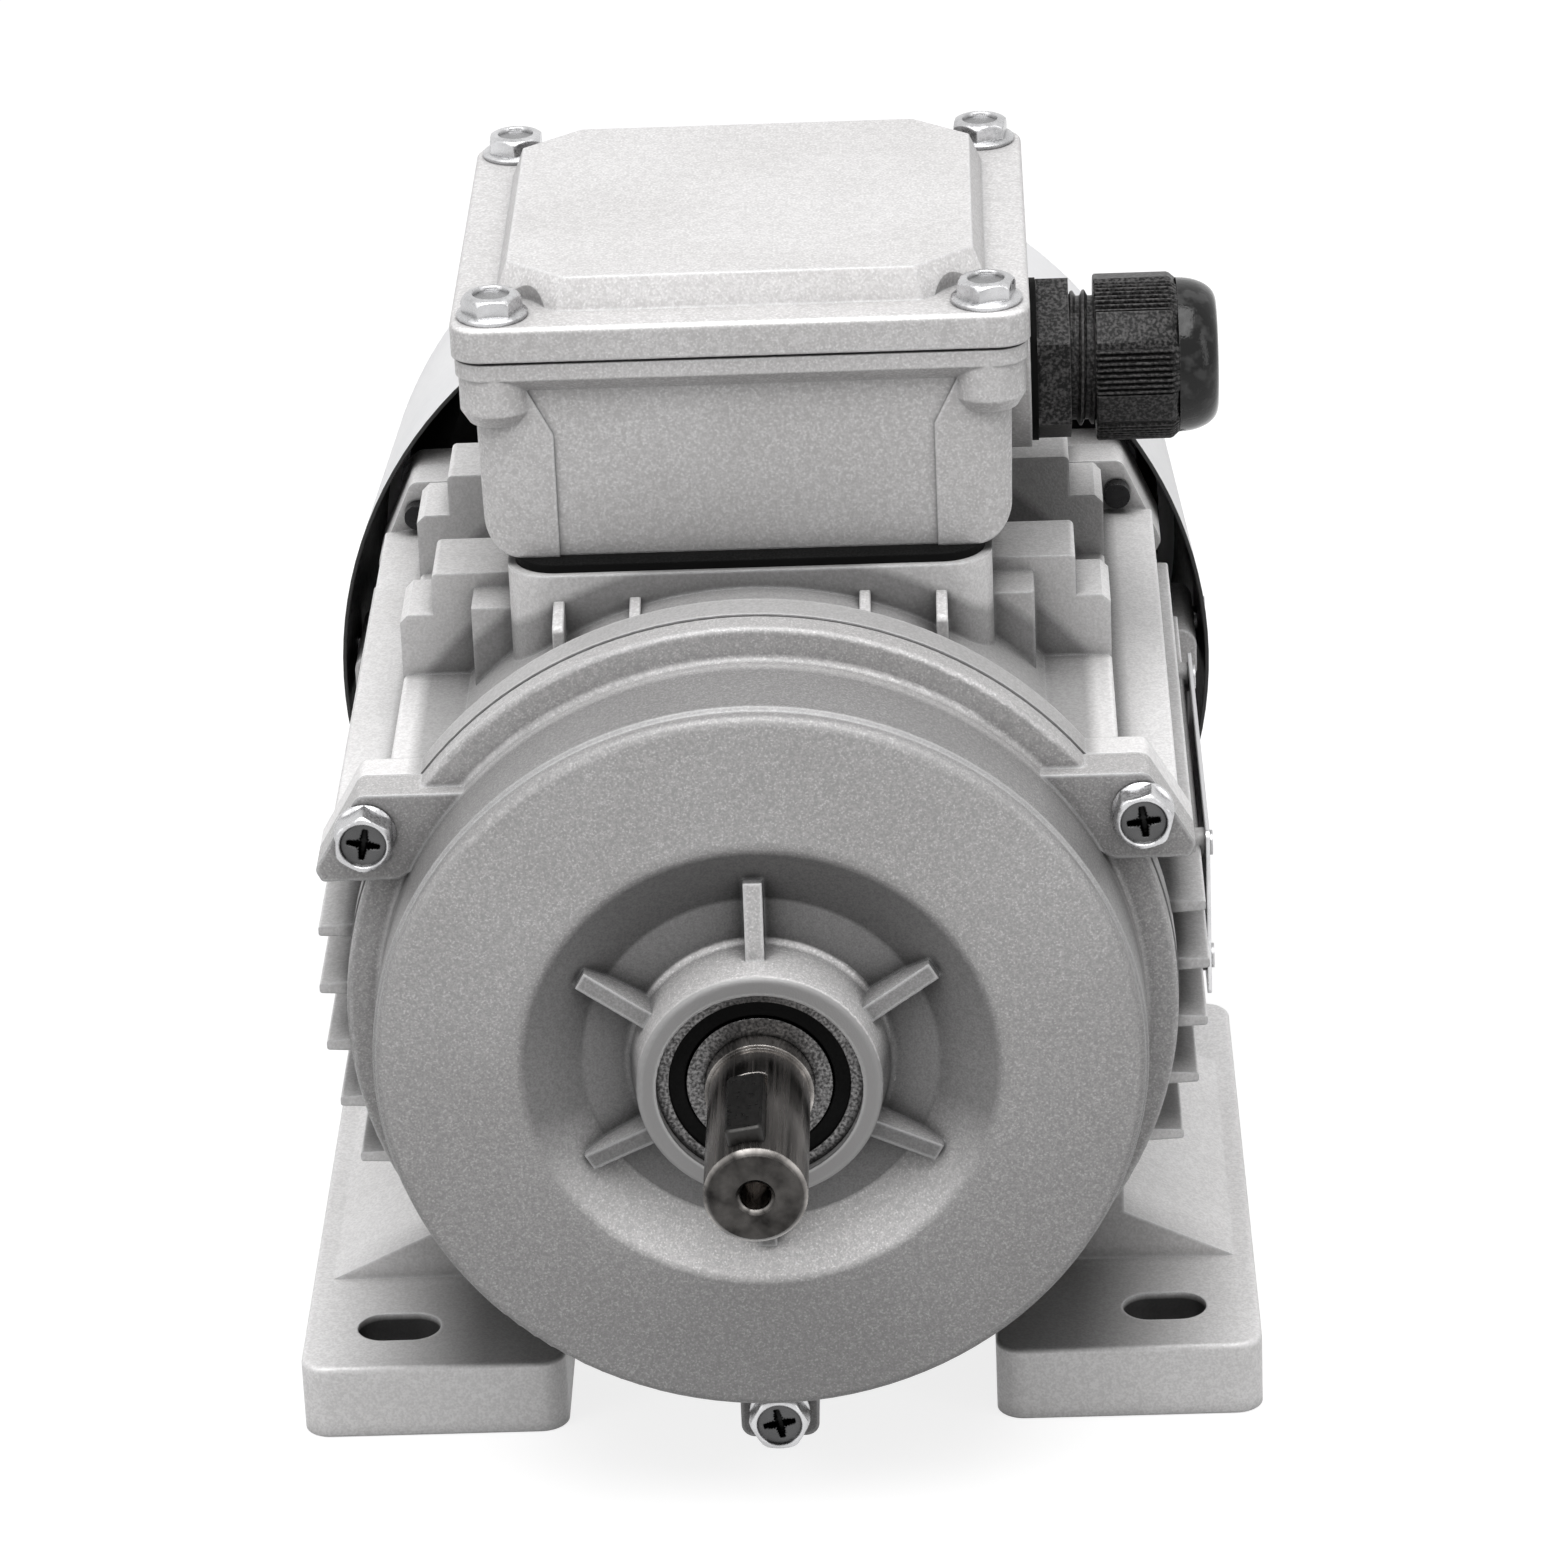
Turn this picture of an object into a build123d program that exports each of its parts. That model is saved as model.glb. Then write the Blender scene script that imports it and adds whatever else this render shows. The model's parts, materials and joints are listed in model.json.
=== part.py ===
"""Foot-mounted three-phase electric motor, frame size 71, in millimetres.

Origin: middle of the four foot holes on the floor. The shaft points to -Y, Z is up.
Heights called rise are measured from the shaft axis, which runs along Y.
"""
from build123d import *
import math
import os

# Standard frame: axis height, foot holes, shaft end
shaft_height = 71.0
foot_hole_span_x = 112.0
foot_hole_span_y = 90.0
shoulder_to_foot_hole = 45.0
shaft_dia = 14.0
shaft_extension = 30.0
shaft_tip_chamfer = 0.8
centre_hole_dia = 4.2
centre_hole_mouth_dia = 5.4
centre_hole_depth = 12.0

# Key in its closed keyway, turned a little away from the top
key_width = 5.0
key_height = 5.0
key_length = 16.0
key_corner = 0.8
keyway_length = 20.0
keyway_depth = 3.0
keyway_from_tip = 2.8
key_turn = -9.0

# Bearings, the same at both ends
bearing_bore = 15.0
bearing_outer_dia = 32.0
bearing_width = 9.0
inner_ring_dia = 20.0
outer_ring_bore = 25.0
seal_thickness = 0.9
seal_recess = 0.4
seal_clearance = 0.3

# Frame tube and what is cast on it
frame_bore = 102.0
frame_wall = 3.4
frame_front = -60.0
frame_length = 115.0
collar_step = 0.2
front_collar_length = 5.4
rear_collar_length = 6.7
fin_pitch = 9.0
fins_each_way = 3
fin_tip_thickness = 1.4
fin_root_thickness = 2.6
fin_reach = 63.0
fin_crown_radius = 91.0
fin_front_gap = 1.1
corner_block_x = 50.7
corner_block_rise = 35.7
step_pad_offset = 18.7
step_pad_thickness = 13.0
step_high_x = 45.8
step_high_rise = 51.2
step_low_rise = 45.0
step_edge_chamfer = 1.2
cast_boss_x = 39.8
cast_boss_rise = 49.0
cast_boss_depth = 7.8

# Screwed lugs that join the end shields to the frame
lug_screw_circle_dia = 123.7
lug_angles = (30.0, 150.0, 270.0)
lug_depth = 7.0
lug_top_rise = 35.9
lug_top_x = 54.4
lug_side_x = 60.9
lug_side_rise = 24.9
lug_foot_rise = 23.1
lug_foot_x = 49.3
rear_lug_drop = 2.4
rear_lug_set_in = 0.6
bottom_lug_width = 11.2
bottom_lug_reach = 67.0
shield_screw_dia = 5.0
rear_screw_dia = 4.0
rear_screw_overhang = 2.4

# Pad under the terminal box
pad_width = 68.0
pad_front = -41.2
pad_rear = 40.0
pad_rise = 57.0
pad_root_rise = 30.0
pad_corner = 6.0
pad_rib_count = 6
pad_rib_pitch = 10.7
pad_rib_thickness = 1.7
pad_rib_reach = 5.0

# Drive end shield
shield_flange_dia = 116.4
shield_flange_thickness = 4.5
shield_body_dia = 107.0
shield_band_width = 2.8
shield_band_step = 0.5
shield_face = -83.0
shield_wall = 4.0
spigot_length = 4.0
spigot_wall = 3.0
recess_dia = 68.0
recess_floor_dia = 49.2
recess_depth = 3.5
recess_mouth_round = 3.5
hub_face_gap = 1.5
hub_face_dia = 33.7
hub_root_dia = 36.0
hub_mouth_dia = 28.4
hub_lip = 1.6
shield_rib_count = 6
shield_rib_thickness = 2.6
shield_rib_end_dia = 56.0
shield_rib_inner_height = 5.0
shield_rib_outer_height = 2.5

# Rear end shield and fan cover
rear_shield_length = 21.0
rear_bearing_offset = 7.5
rear_wall_bore = 16.0
rear_wall = 2.9
wave_washer_thickness = 1.6
ear_width = 9.0
ear_length = 19.0
ear_round = 2.6
ear_clearance = 0.3
cover_front_dia = 135.2
cover_rear_dia = 128.8
cover_length = 61.0
cover_sheet = 0.6
cover_edge_radius = 9.0
cover_screw_dia = 4.0
cover_screw_head_height = 0.6
cover_screw_hold = 8.0
cover_screw_offset = 15.0
cover_screw_angles = (0.0, 90.0, 180.0)
grille_slot_width = 4.0
grille_pitch = 8.5
grille_first_radius = 15.0
grille_rings = 4
grille_sectors = 6
grille_spoke_angle = 12.0

# Stator, rotor and fan
core_length = 64.0
rotor_dia = 69.4
air_gap = 0.3
winding_length = 17.0
winding_outer_dia = 92.0
winding_inner_dia = 76.0
cage_ring_length = 7.0
cage_ring_inner_dia = 46.0
shaft_core_dia = 20.0
shaft_shoulder_dia = 17.6
fan_seat_dia = 12.0
fan_gap = 4.0
fan_hub_dia = 22.0
fan_hub_length = 18.0
fan_disc_dia = 78.0
fan_disc_thickness = 2.0
fan_dia = 116.0
fan_blade_count = 8
fan_blade_thickness = 2.0
fan_blade_width = 17.0
fan_blade_inner_dia = 42.0
fan_ring_dia = 17.0
fan_ring_thickness = 1.0
fan_ring_groove = 0.4

# Feet
foot_inner_x = 31.2
foot_outer_x = 69.8
foot_front = -57.0
foot_rear = 54.0
foot_thickness = 11.3
foot_corner = 4.0
foot_slot_length = 12.2
foot_slot_width = 8.0
foot_wedge_front = -30.0
foot_wedge_rear = 33.0
foot_wedge_outer_x = 66.8
foot_wedge_inner_x = 50.7
foot_wedge_top = 19.0
foot_edge_round = 0.8
foot_screw_dia = 6.0
foot_screw_x = 40.0
foot_screw_grip = 9.0

# Terminal box
box_width = 80.3
box_depth = 78.6
box_centre_y = -0.4
box_corner = 4.5
box_height = 29.7
box_floor = 3.0
box_wall_inset = 2.7
box_wall_corner = 4.6
box_taper = 0.6
box_bottom_round = 5.5
box_flange = 2.4
box_flare = 2.2
box_boss_dia = 10.4
box_boss_depth = 9.6
box_boss_taper = 1.8
box_field_cut = 3.4
box_face_width = 53.0
box_face_recess = 0.5
box_cavity_width = 68.0
box_cavity_depth = 66.0
box_cavity_corner = 5.0
box_column_dia = 12.4
base_gasket = 1.2
base_gasket_inset = 1.0
lid_gasket_thickness = 0.5
lid_thickness = 5.0
lid_edge_round = 0.9
lid_panel_height = 4.4
lid_panel_width = 65.0
lid_panel_depth = 62.5
lid_panel_cut_x = 8.2
lid_panel_cut_y = 7.5
lid_panel_bevel = 1.9
lid_scoop_dia = 15.0
lid_screw_span_x = 68.4
lid_screw_span_y = 67.4
lid_screw_dia = 4.0
lid_screw_hold = 8.0
lid_screw_hole_depth = 8.8
base_screw_dia = 4.0
base_screw_span = 46.0
base_screw_hold = 7.0
base_screw_hole_depth = 8.0
wire_slot_width = 22.0
wire_slot_depth = 5.0
wire_slot_y = 35.5
wire_slot_step = 6.0

# Screw heads
shield_head_flats = 8.0
shield_head_flange = 9.8
shield_head_height = 4.6
lid_head_flats = 7.4
lid_head_flange = 9.9
lid_head_height = 3.4
small_head_dia = 7.0
small_head_height = 2.6
screw_slot_width = 1.0
head_flange_rim = 0.7
head_flange_thickness = 1.6

# Terminals
block_side_gap = 9.0
block_depth = 32.0
block_height = 9.0
terminal_columns = 3
terminal_pitch_x = 16.0
terminal_pitch_y = 15.0
terminal_dia = 4.0
terminal_height = 9.0
terminal_foot = 6.0
terminal_nut_flats = 7.0
terminal_nut_height = 3.2
link_width = 7.0
link_thickness = 0.8
earth_post_wall_gap = 5.0
earth_post_y = -14.0
earth_post_dia = 6.5
earth_post_height = 6.0

# Cable gland
gland_rise = 71.55
gland_boss_dia = 25.2
gland_boss_face_x = 40.3
gland_thread_dia = 16.0
gland_washer_dia = 23.4
gland_washer_thickness = 1.0
gland_hex_flats = 21.2
gland_hex_length = 4.7
gland_neck_dia = 17.8
gland_neck_length = 3.6
gland_nut_dia = 24.0
gland_nut_length = 11.9
gland_nut_facets = 12
gland_nut_wall = 3.0
gland_dome_length = 5.7
gland_dome_dia = 22.0
gland_mouth_dia = 13.6
gland_cable_dia = 10.0
gland_body_bore = 14.0

# Blank plate on the side fins
plate_front = -36.0
plate_rear = 30.0
plate_bottom_rise = -14.0
plate_top_rise = 12.0
plate_thickness = 0.6
plate_post_dia = 4.4
plate_post_inset = 3.4
rivet_dia = 2.0
rivet_head_dia = 3.6
rivet_head_height = 0.5
rivet_hold = 4.0

# Places worked out from the sizes above
shoulder_y = -(foot_hole_span_y / 2 + shoulder_to_foot_hole)
tip_y = shoulder_y - shaft_extension
frame_rear = frame_front + frame_length
frame_dia = frame_bore + 2 * frame_wall
hub_face = shoulder_y + hub_face_gap
front_bearing_y = hub_face + hub_lip
rear_bearing_y = frame_rear + rear_bearing_offset
rear_shield_face = frame_rear + rear_shield_length
fan_y = rear_shield_face + fan_gap
fan_ring_y = fan_y + fan_hub_length
shaft_end_y = fan_ring_y + fan_ring_thickness + 3.0
cover_rear = frame_rear + cover_length
stator_bore = rotor_dia + 2 * air_gap
collar_dia = shield_flange_dia + 2 * collar_step
pad_top = shaft_height + pad_rise
box_bottom = pad_top + base_gasket
box_top = box_bottom + box_height
lid_bottom = box_top + lid_gasket_thickness
lid_top = lid_bottom + lid_thickness
gland_height = shaft_height + gland_rise
block_width = box_cavity_width - 2 * block_side_gap
earth_post_x = box_cavity_width / 2 - earth_post_wall_gap
foot_seat = shaft_height - step_high_rise
foot_low_seat = shaft_height - step_low_rise
motor_axis = Axis((0, 0, shaft_height), (0, 1, 0))


def outline(*corners):
    """Face through corners (a, b), or (a, b, radius) where a corner is round."""
    points = [Vector(corner[0], corner[1]) for corner in corners]
    radii = [corner[2] if len(corner) > 2 else 0 for corner in corners]
    count = len(points)
    stations = []
    for i, corner in enumerate(points):
        if radii[i] == 0:
            stations.append((corner, None, corner))
            continue
        before = (points[i - 1] - corner).normalized()
        after = (points[(i + 1) % count] - corner).normalized()
        half = math.radians(before.get_angle(after)) / 2
        reach = radii[i] / math.tan(half)
        centre = corner + (before + after).normalized() * (radii[i] / math.sin(half))
        middle = centre + (corner - centre).normalized() * radii[i]
        stations.append((corner + before * reach, middle, corner + after * reach))
    edges = []
    for i, (start, middle, end) in enumerate(stations):
        if middle is not None:
            edges.append(ThreePointArc(start, middle, end))
        following = stations[(i + 1) % count][0]
        if (following - end).length > 1e-6:
            edges.append(Line(end, following))
    return make_face(edges)


def axial(section, y_start, y_end):
    """Section drawn in (x, rise) about the shaft axis, carried from y_start to y_end."""
    plane = Plane(origin=(0, y_end, shaft_height), x_dir=(1, 0, 0), z_dir=(0, -1, 0))
    return extrude(plane * section, amount=y_end - y_start)


def turned(*corners):
    """Body of revolution about the shaft axis from corners (y, radius)."""
    plane = Plane(origin=(0, 0, shaft_height), x_dir=(0, 1, 0), z_dir=(1, 0, 0))
    return revolve(plane * outline(*corners), axis=motor_axis)


def ring(outer_dia, inner_dia, y_start, y_end):
    """Plain ring about the shaft axis."""
    return axial(Circle(outer_dia / 2) - Circle(inner_dia / 2), y_start, y_end)


def disc(diameter, y_start, y_end):
    """Plain disc about the shaft axis."""
    return axial(Circle(diameter / 2), y_start, y_end)


def upright(section, z_start, z_end):
    """Section drawn in (x, y), carried up from z_start to z_end."""
    return extrude(Plane.XY.offset(z_start) * section, amount=z_end - z_start)


def sideways(section, x_start, x_end, y=0.0, z=0.0):
    """Section carried along +X about the point (y, z)."""
    plane = Plane(origin=(x_start, y, z), x_dir=(0, 1, 0), z_dir=(1, 0, 0))
    return extrude(plane * section, amount=x_end - x_start)


def both_sides(shape):
    """The shape and its mirror image on the other side of the motor."""
    return shape + mirror(shape, Plane.YZ)


def on_circle(diameter, angle):
    """Point (x, rise) on a circle about the shaft axis."""
    turn = math.radians(angle)
    return (diameter / 2 * math.cos(turn), diameter / 2 * math.sin(turn))


def group(solids):
    """Separate solids kept together in one piece list."""
    return Compound(children=list(solids))


def place(shape, origin, direction, x_dir):
    """Move a shape drawn at the origin, head along +Z, to origin with its head along direction."""
    return Plane(origin=origin, x_dir=x_dir, z_dir=direction).location * shape


def screw(shank_dia, shank_length, flats, flange_dia, height, crossed):
    """Hexagon flange screw: shank below Z 0, head above it."""
    seat = Plane.XZ * outline(
        (0, 0),
        (flange_dia / 2, 0),
        (flange_dia / 2, head_flange_rim),
        (flats / 2, head_flange_thickness),
        (0, head_flange_thickness),
    )
    hexagon = RegularPolygon(flats / 2, 6, major_radius=False)
    head = revolve(seat, axis=Axis.Z) + extrude(hexagon, amount=height)
    if crossed:
        arm = flats * 0.56
        slot = flats * 0.15
        cross = Rectangle(arm, slot) + Rectangle(slot, arm)
        head -= Pos(0, 0, height) * extrude(cross, amount=-height / 3)
    else:
        head -= Pos(0, 0, height) * extrude(Circle(flats * 0.36), amount=-height / 5)
    return head + extrude(Circle(shank_dia / 2), amount=-shank_length)


def slotted_head(height):
    """Small round screw head on Z 0 with a slot across it."""
    head = extrude(Circle(small_head_dia / 2), amount=height)
    slot = Rectangle(small_head_dia, screw_slot_width)
    return head - Pos(0, 0, height) * extrude(slot, amount=-height * 0.4)


def pan_screw(shank_dia, shank_length, height=small_head_height):
    """Small slotted screw: shank below Z 0, head above it."""
    return slotted_head(height) + extrude(Circle(shank_dia / 2), amount=-shank_length)


def lug_section(drop=0.0, set_in=0.0):
    """Outline of the three lugs; the rear ones reach drop lower and end set_in further in."""
    side_x = lug_side_x - set_in
    foot_rise = lug_foot_rise - drop
    side = outline(
        (36.0, 27.0 - drop),
        (38.0, lug_top_rise),
        (lug_top_x, lug_top_rise, 1.8),
        (side_x, lug_side_rise - drop, 1.2),
        (side_x - 0.9, foot_rise, 0.7),
        (lug_foot_x, foot_rise, 1.5),
        (44.0, 27.0 - drop),
    )
    half = bottom_lug_width / 2
    bottom = outline(
        (-half, -50.0),
        (-half, -bottom_lug_reach, 2.0),
        (half, -bottom_lug_reach, 2.0),
        (half, -50.0),
    )
    return side + mirror(side, Plane.YZ) + bottom


def rear_lugs(y):
    """Outline of the lugs at the rear, kept clear of the fan cover as far back as y."""
    clear = Circle(cover_inner_radius(y) - ear_clearance)
    return lug_section(rear_lug_drop, rear_lug_set_in) & clear


def lug_holes(diameter, y_start, y_end):
    """Screw holes of the three lugs."""
    circles = [Pos(*on_circle(lug_screw_circle_dia, angle)) * Circle(diameter / 2) for angle in lug_angles]
    return axial(Sketch() + circles, y_start, y_end)


def fin(step):
    """One horizontal side fin; its tip follows the frame's crowned side."""
    rise = step * fin_pitch
    crown = fin_crown_radius - math.sqrt(fin_crown_radius**2 - rise**2)
    tip = fin_reach - crown
    middle_dia = frame_bore + frame_wall
    root = math.sqrt((middle_dia / 2) ** 2 - rise**2)
    section = outline(
        (root, rise - fin_root_thickness / 2),
        (tip, rise - fin_tip_thickness / 2, 0.4),
        (tip, rise + fin_tip_thickness / 2, 0.4),
        (root, rise + fin_root_thickness / 2),
    )
    y_start = frame_front + front_collar_length + fin_front_gap
    return axial(section, y_start, frame_rear - rear_collar_length)


def stepped_pad(sign, inner_x, inner_rise):
    """Stepped section of the cast pads; sign is +1 above the axis and -1 below it."""
    cut = step_edge_chamfer
    corners = [
        (inner_x, inner_rise),
        (inner_x, step_high_rise),
        (step_high_x, step_high_rise, 0.8),
        (step_high_x, step_low_rise),
        (corner_block_x - cut, step_low_rise),
        (corner_block_x, step_low_rise - cut),
        (corner_block_x, inner_rise),
    ]
    placed = [(corner[0], sign * corner[1], *corner[2:]) for corner in corners]
    return outline(*(placed if sign > 0 else placed[::-1]))


def frame_pads():
    """Stepped pads: four beside the terminal box, and four that the feet are screwed to."""
    half = step_pad_thickness / 2
    upper = stepped_pad(1, pad_width / 2 - 3.0, corner_block_rise - 3.0)
    lower = stepped_pad(-1, pad_width / 2, fins_each_way * fin_pitch)
    pads = []
    for centre in (-step_pad_offset, step_pad_offset):
        pads.append(axial(upper, centre - half, centre + half))
        pads.append(axial(lower, centre - half, centre + half))
    boss = outline(
        (pad_width / 2 - 3.0, corner_block_rise),
        (pad_width / 2 - 3.0, cast_boss_rise),
        (cast_boss_x, cast_boss_rise),
        (cast_boss_x, corner_block_rise),
    )
    boss_rear = half - step_pad_offset
    pads.append(axial(boss, -step_pad_offset - half - cast_boss_depth, boss_rear))
    return pads


def pad_ribs():
    """Small tapering ribs between the front of the terminal pad and the tube."""
    ribs = []
    for i in range(pad_rib_count):
        x = (i - (pad_rib_count - 1) / 2) * pad_rib_pitch
        top = pad_rise - 4.0 - 0.006 * x**2
        root = math.sqrt((frame_dia / 2) ** 2 - x**2) - 1.5
        plane = Plane(origin=(x, 0, shaft_height), x_dir=(0, 1, 0), z_dir=(1, 0, 0))
        side = outline(
            (pad_front + 1.0, root),
            (pad_front - pad_rib_reach, root),
            (pad_front, top),
            (pad_front + 1.0, top),
        )
        ribs.append(extrude(plane * side, amount=pad_rib_thickness / 2, both=True))
    return ribs


def plate_post_places():
    """(y, rise) of the four posts that carry the blank plate."""
    low = -fin_pitch
    high = fin_pitch
    front = plate_front + plate_post_inset
    rear = plate_rear - plate_post_inset
    return [(y, rise) for y in (front, rear) for rise in (low, high)]


def stator_frame():
    """Finned tube with collars, lugs, terminal pad and stepped pads."""
    body = disc(frame_dia, frame_front, frame_rear)
    body += disc(collar_dia, frame_front, frame_front + front_collar_length)
    body += disc(collar_dia, frame_rear - rear_collar_length, frame_rear)
    body += axial(lug_section(), frame_front, frame_front + front_collar_length)
    body += axial(rear_lugs(frame_rear), frame_rear - rear_collar_length, frame_rear)
    side = [fin(step) for step in range(-fins_each_way, fins_each_way + 1)]
    block = outline(
        (38.0, fins_each_way * fin_pitch),
        (38.0, corner_block_rise),
        (corner_block_x, corner_block_rise, 0.8),
        (corner_block_x, fins_each_way * fin_pitch),
    )
    side.append(axial(block, frame_front, frame_rear))
    side += frame_pads()
    body += both_sides(Part() + side)
    pad = Pos(0, (pad_front + pad_rear) / 2) * RectangleRounded(pad_width, pad_rear - pad_front, pad_corner)
    body += upright(pad, shaft_height + pad_root_rise, pad_top)
    body += pad_ribs()
    post_end = fin_reach + ear_clearance
    for y, rise in plate_post_places():
        body += sideways(Circle(plate_post_dia / 2), frame_dia / 2 - 2.0, post_end, y, shaft_height + rise)
    body -= disc(frame_bore, frame_front, frame_rear)
    body -= lug_holes(shield_screw_dia, frame_front, 0)
    body -= lug_holes(rear_screw_dia, 0, frame_rear)
    wires = Pos(0, wire_slot_y) * Rectangle(wire_slot_width, wire_slot_depth)
    body -= upright(wires, shaft_height + pad_root_rise, pad_top)
    for x, y in base_screw_places():
        hole = extrude(Circle(base_screw_dia / 2), amount=-base_screw_hole_depth)
        body -= Pos(x, y, pad_top) * hole
    for x, y in foot_screw_places():
        body -= Pos(x, y, foot_seat) * extrude(Circle(foot_screw_dia / 2), amount=foot_screw_grip)
    for y, rise in plate_post_places():
        hole_start = post_end - rivet_hold
        body -= sideways(Circle(rivet_dia / 2), hole_start, post_end, y, shaft_height + rise)
    return body


def foot_screw_places():
    """(x, y) of the four screws that hold the feet to the lower stepped pads."""
    return [(x, y) for x in (-foot_screw_x, foot_screw_x) for y in (-step_pad_offset, step_pad_offset)]


def foot(side):
    """Cast foot: slotted base plate and a sloping body under the stepped pads."""
    centre_x = (foot_inner_x + foot_outer_x) / 2
    centre_y = (foot_front + foot_rear) / 2
    plate = RectangleRounded(foot_outer_x - foot_inner_x, foot_rear - foot_front, foot_corner)
    base = upright(Pos(centre_x, centre_y) * plate, 0, foot_thickness)
    base = fillet(base.edges().group_by(Axis.Z)[-1], foot_edge_round)
    slope = outline(
        (foot_inner_x + 2.0, foot_thickness - 2.0 - shaft_height),
        (foot_wedge_outer_x, foot_thickness - 2.0 - shaft_height),
        (foot_wedge_outer_x, foot_thickness - shaft_height),
        (foot_wedge_inner_x, foot_wedge_top - shaft_height),
        (foot_wedge_inner_x, foot_low_seat - shaft_height),
        (step_high_x, foot_low_seat - shaft_height),
        (step_high_x, foot_seat - shaft_height),
        (foot_inner_x + 2.0, foot_seat - shaft_height),
    )
    body = base + axial(slope, foot_wedge_front, foot_wedge_rear)
    for y in (-foot_hole_span_y / 2, foot_hole_span_y / 2):
        slot = SlotOverall(foot_slot_length, foot_slot_width)
        body -= Pos(foot_hole_span_x / 2, y) * extrude(slot, amount=foot_thickness)
    head_depth = foot_seat - foot_screw_grip
    for x, y in foot_screw_places():
        if x > 0:
            body -= Pos(x, y) * extrude(Circle(foot_screw_dia / 2), amount=foot_seat)
            body -= Pos(x, y) * extrude(Circle(foot_screw_dia * 0.9), amount=head_depth)
    return body if side > 0 else mirror(body, Plane.YZ)


def foot_screws():
    """Socket screws from below, through each foot into the frame."""
    head_depth = foot_seat - foot_screw_grip
    screws = []
    for x, y in foot_screw_places():
        head = extrude(Circle(foot_screw_dia * 0.8), amount=foot_screw_dia)
        socket = RegularPolygon(foot_screw_dia * 0.42, 6, major_radius=False)
        head -= extrude(socket, amount=foot_screw_dia / 2)
        shank = extrude(Circle(foot_screw_dia / 2), amount=2 * foot_screw_grip)
        shank = Pos(0, 0, foot_screw_dia) * shank
        screws.append(Pos(x, y, head_depth - foot_screw_dia) * (head + shank))
    return group(screws)


def shield_ribs():
    """Ribs between the bearing hub and the wall of the round recess."""
    floor = shield_face + recess_depth
    plane = Plane(origin=(0, 0, shaft_height), x_dir=(0, 1, 0), z_dir=(1, 0, 0))
    side = outline(
        (floor + 0.5, bearing_outer_dia / 2),
        (floor - shield_rib_inner_height, bearing_outer_dia / 2),
        (floor - shield_rib_outer_height, shield_rib_end_dia / 2),
        (floor + 0.5, shield_rib_end_dia / 2),
    )
    rib = extrude(plane * side, amount=shield_rib_thickness / 2, both=True)
    return [rib.rotate(motor_axis, i * 360 / shield_rib_count) for i in range(shield_rib_count)]


def drive_end_shield():
    """Front bearing shield: flanged cup with a ribbed recess round the bearing hub."""
    flange_front = frame_front - shield_flange_thickness
    floor = shield_face + recess_depth
    body_r = shield_body_dia / 2
    band_r = body_r - shield_band_step
    outer = turned(
        (frame_front + spigot_length, 0),
        (frame_front + spigot_length, frame_bore / 2),
        (frame_front, frame_bore / 2),
        (frame_front, shield_flange_dia / 2, 0.5),
        (flange_front, shield_flange_dia / 2, 0.7),
        (flange_front, body_r, 0.8),
        (shield_face + shield_band_width, body_r),
        (shield_face + shield_band_width - 0.4, band_r),
        (shield_face, band_r, 1.3),
        (shield_face, recess_dia / 2, recess_mouth_round),
        (floor, recess_floor_dia / 2, 1.5),
        (floor, hub_root_dia / 2, 1.0),
        (hub_face, hub_face_dia / 2, 0.8),
        (hub_face, 0),
    )
    lugs_start = frame_front - lug_depth
    body = outer + shield_ribs() + axial(lug_section(), lugs_start, frame_front)
    inner_face = floor + shield_wall
    cup_face = shield_face + shield_wall + 0.5
    cup_r = body_r - shield_wall
    hollow = turned(
        (frame_front + spigot_length, 0),
        (frame_front + spigot_length, frame_bore / 2 - spigot_wall),
        (frame_front, cup_r),
        (cup_face, cup_r, 2.0),
        (cup_face, recess_dia / 2 + 1.5, 2.0),
        (inner_face, recess_floor_dia / 2),
        (inner_face, hub_root_dia / 2),
        (front_bearing_y + bearing_width, hub_root_dia / 2),
        (front_bearing_y + bearing_width, 0),
    )
    body -= hollow
    body -= disc(bearing_outer_dia, front_bearing_y, frame_front)
    body -= disc(hub_mouth_dia, hub_face, front_bearing_y)
    body -= lug_holes(shield_screw_dia, lugs_start, frame_front)
    return body


def lug_screws(one, y_face, direction):
    """Three copies of a screw in the lugs, heads towards direction."""
    screws = []
    for angle in lug_angles:
        x, rise = on_circle(lug_screw_circle_dia, angle)
        screws.append(place(one, (x, y_face, shaft_height + rise), (0, direction, 0), (1, 0, 0)))
    return group(screws)


def drive_end_screws():
    """Hexagon flange screws with cross recess."""
    grip = lug_depth + front_collar_length
    one = screw(shield_screw_dia, grip, shield_head_flats, shield_head_flange, shield_head_height, True)
    return lug_screws(one, frame_front - lug_depth, -1)


def rear_end_screws():
    """Slotted screws with small heads that fit inside the fan cover."""
    one = pan_screw(rear_screw_dia, lug_depth + rear_collar_length + rear_screw_overhang)
    return lug_screws(one, frame_rear + lug_depth, 1)


def rear_ear(angle):
    """Boss on the rear shield that carries one screw of the fan cover."""
    reach = cover_inner_radius(frame_rear + ear_length) - ear_clearance
    start = shield_body_dia / 2 - 2.0
    section = outline(
        (-ear_width / 2, start),
        (ear_width / 2, start),
        (ear_width / 2, reach, ear_round),
        (-ear_width / 2, reach, ear_round),
    )
    ear = axial(section, frame_rear, frame_rear + ear_length)
    return ear.rotate(motor_axis, 90 - angle)


def cover_inner_radius(y):
    """Inside radius of the tapering fan cover at y."""
    share = (y - frame_rear) / cover_length
    return (cover_front_dia + (cover_rear_dia - cover_front_dia) * share) / 2 - cover_sheet


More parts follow.
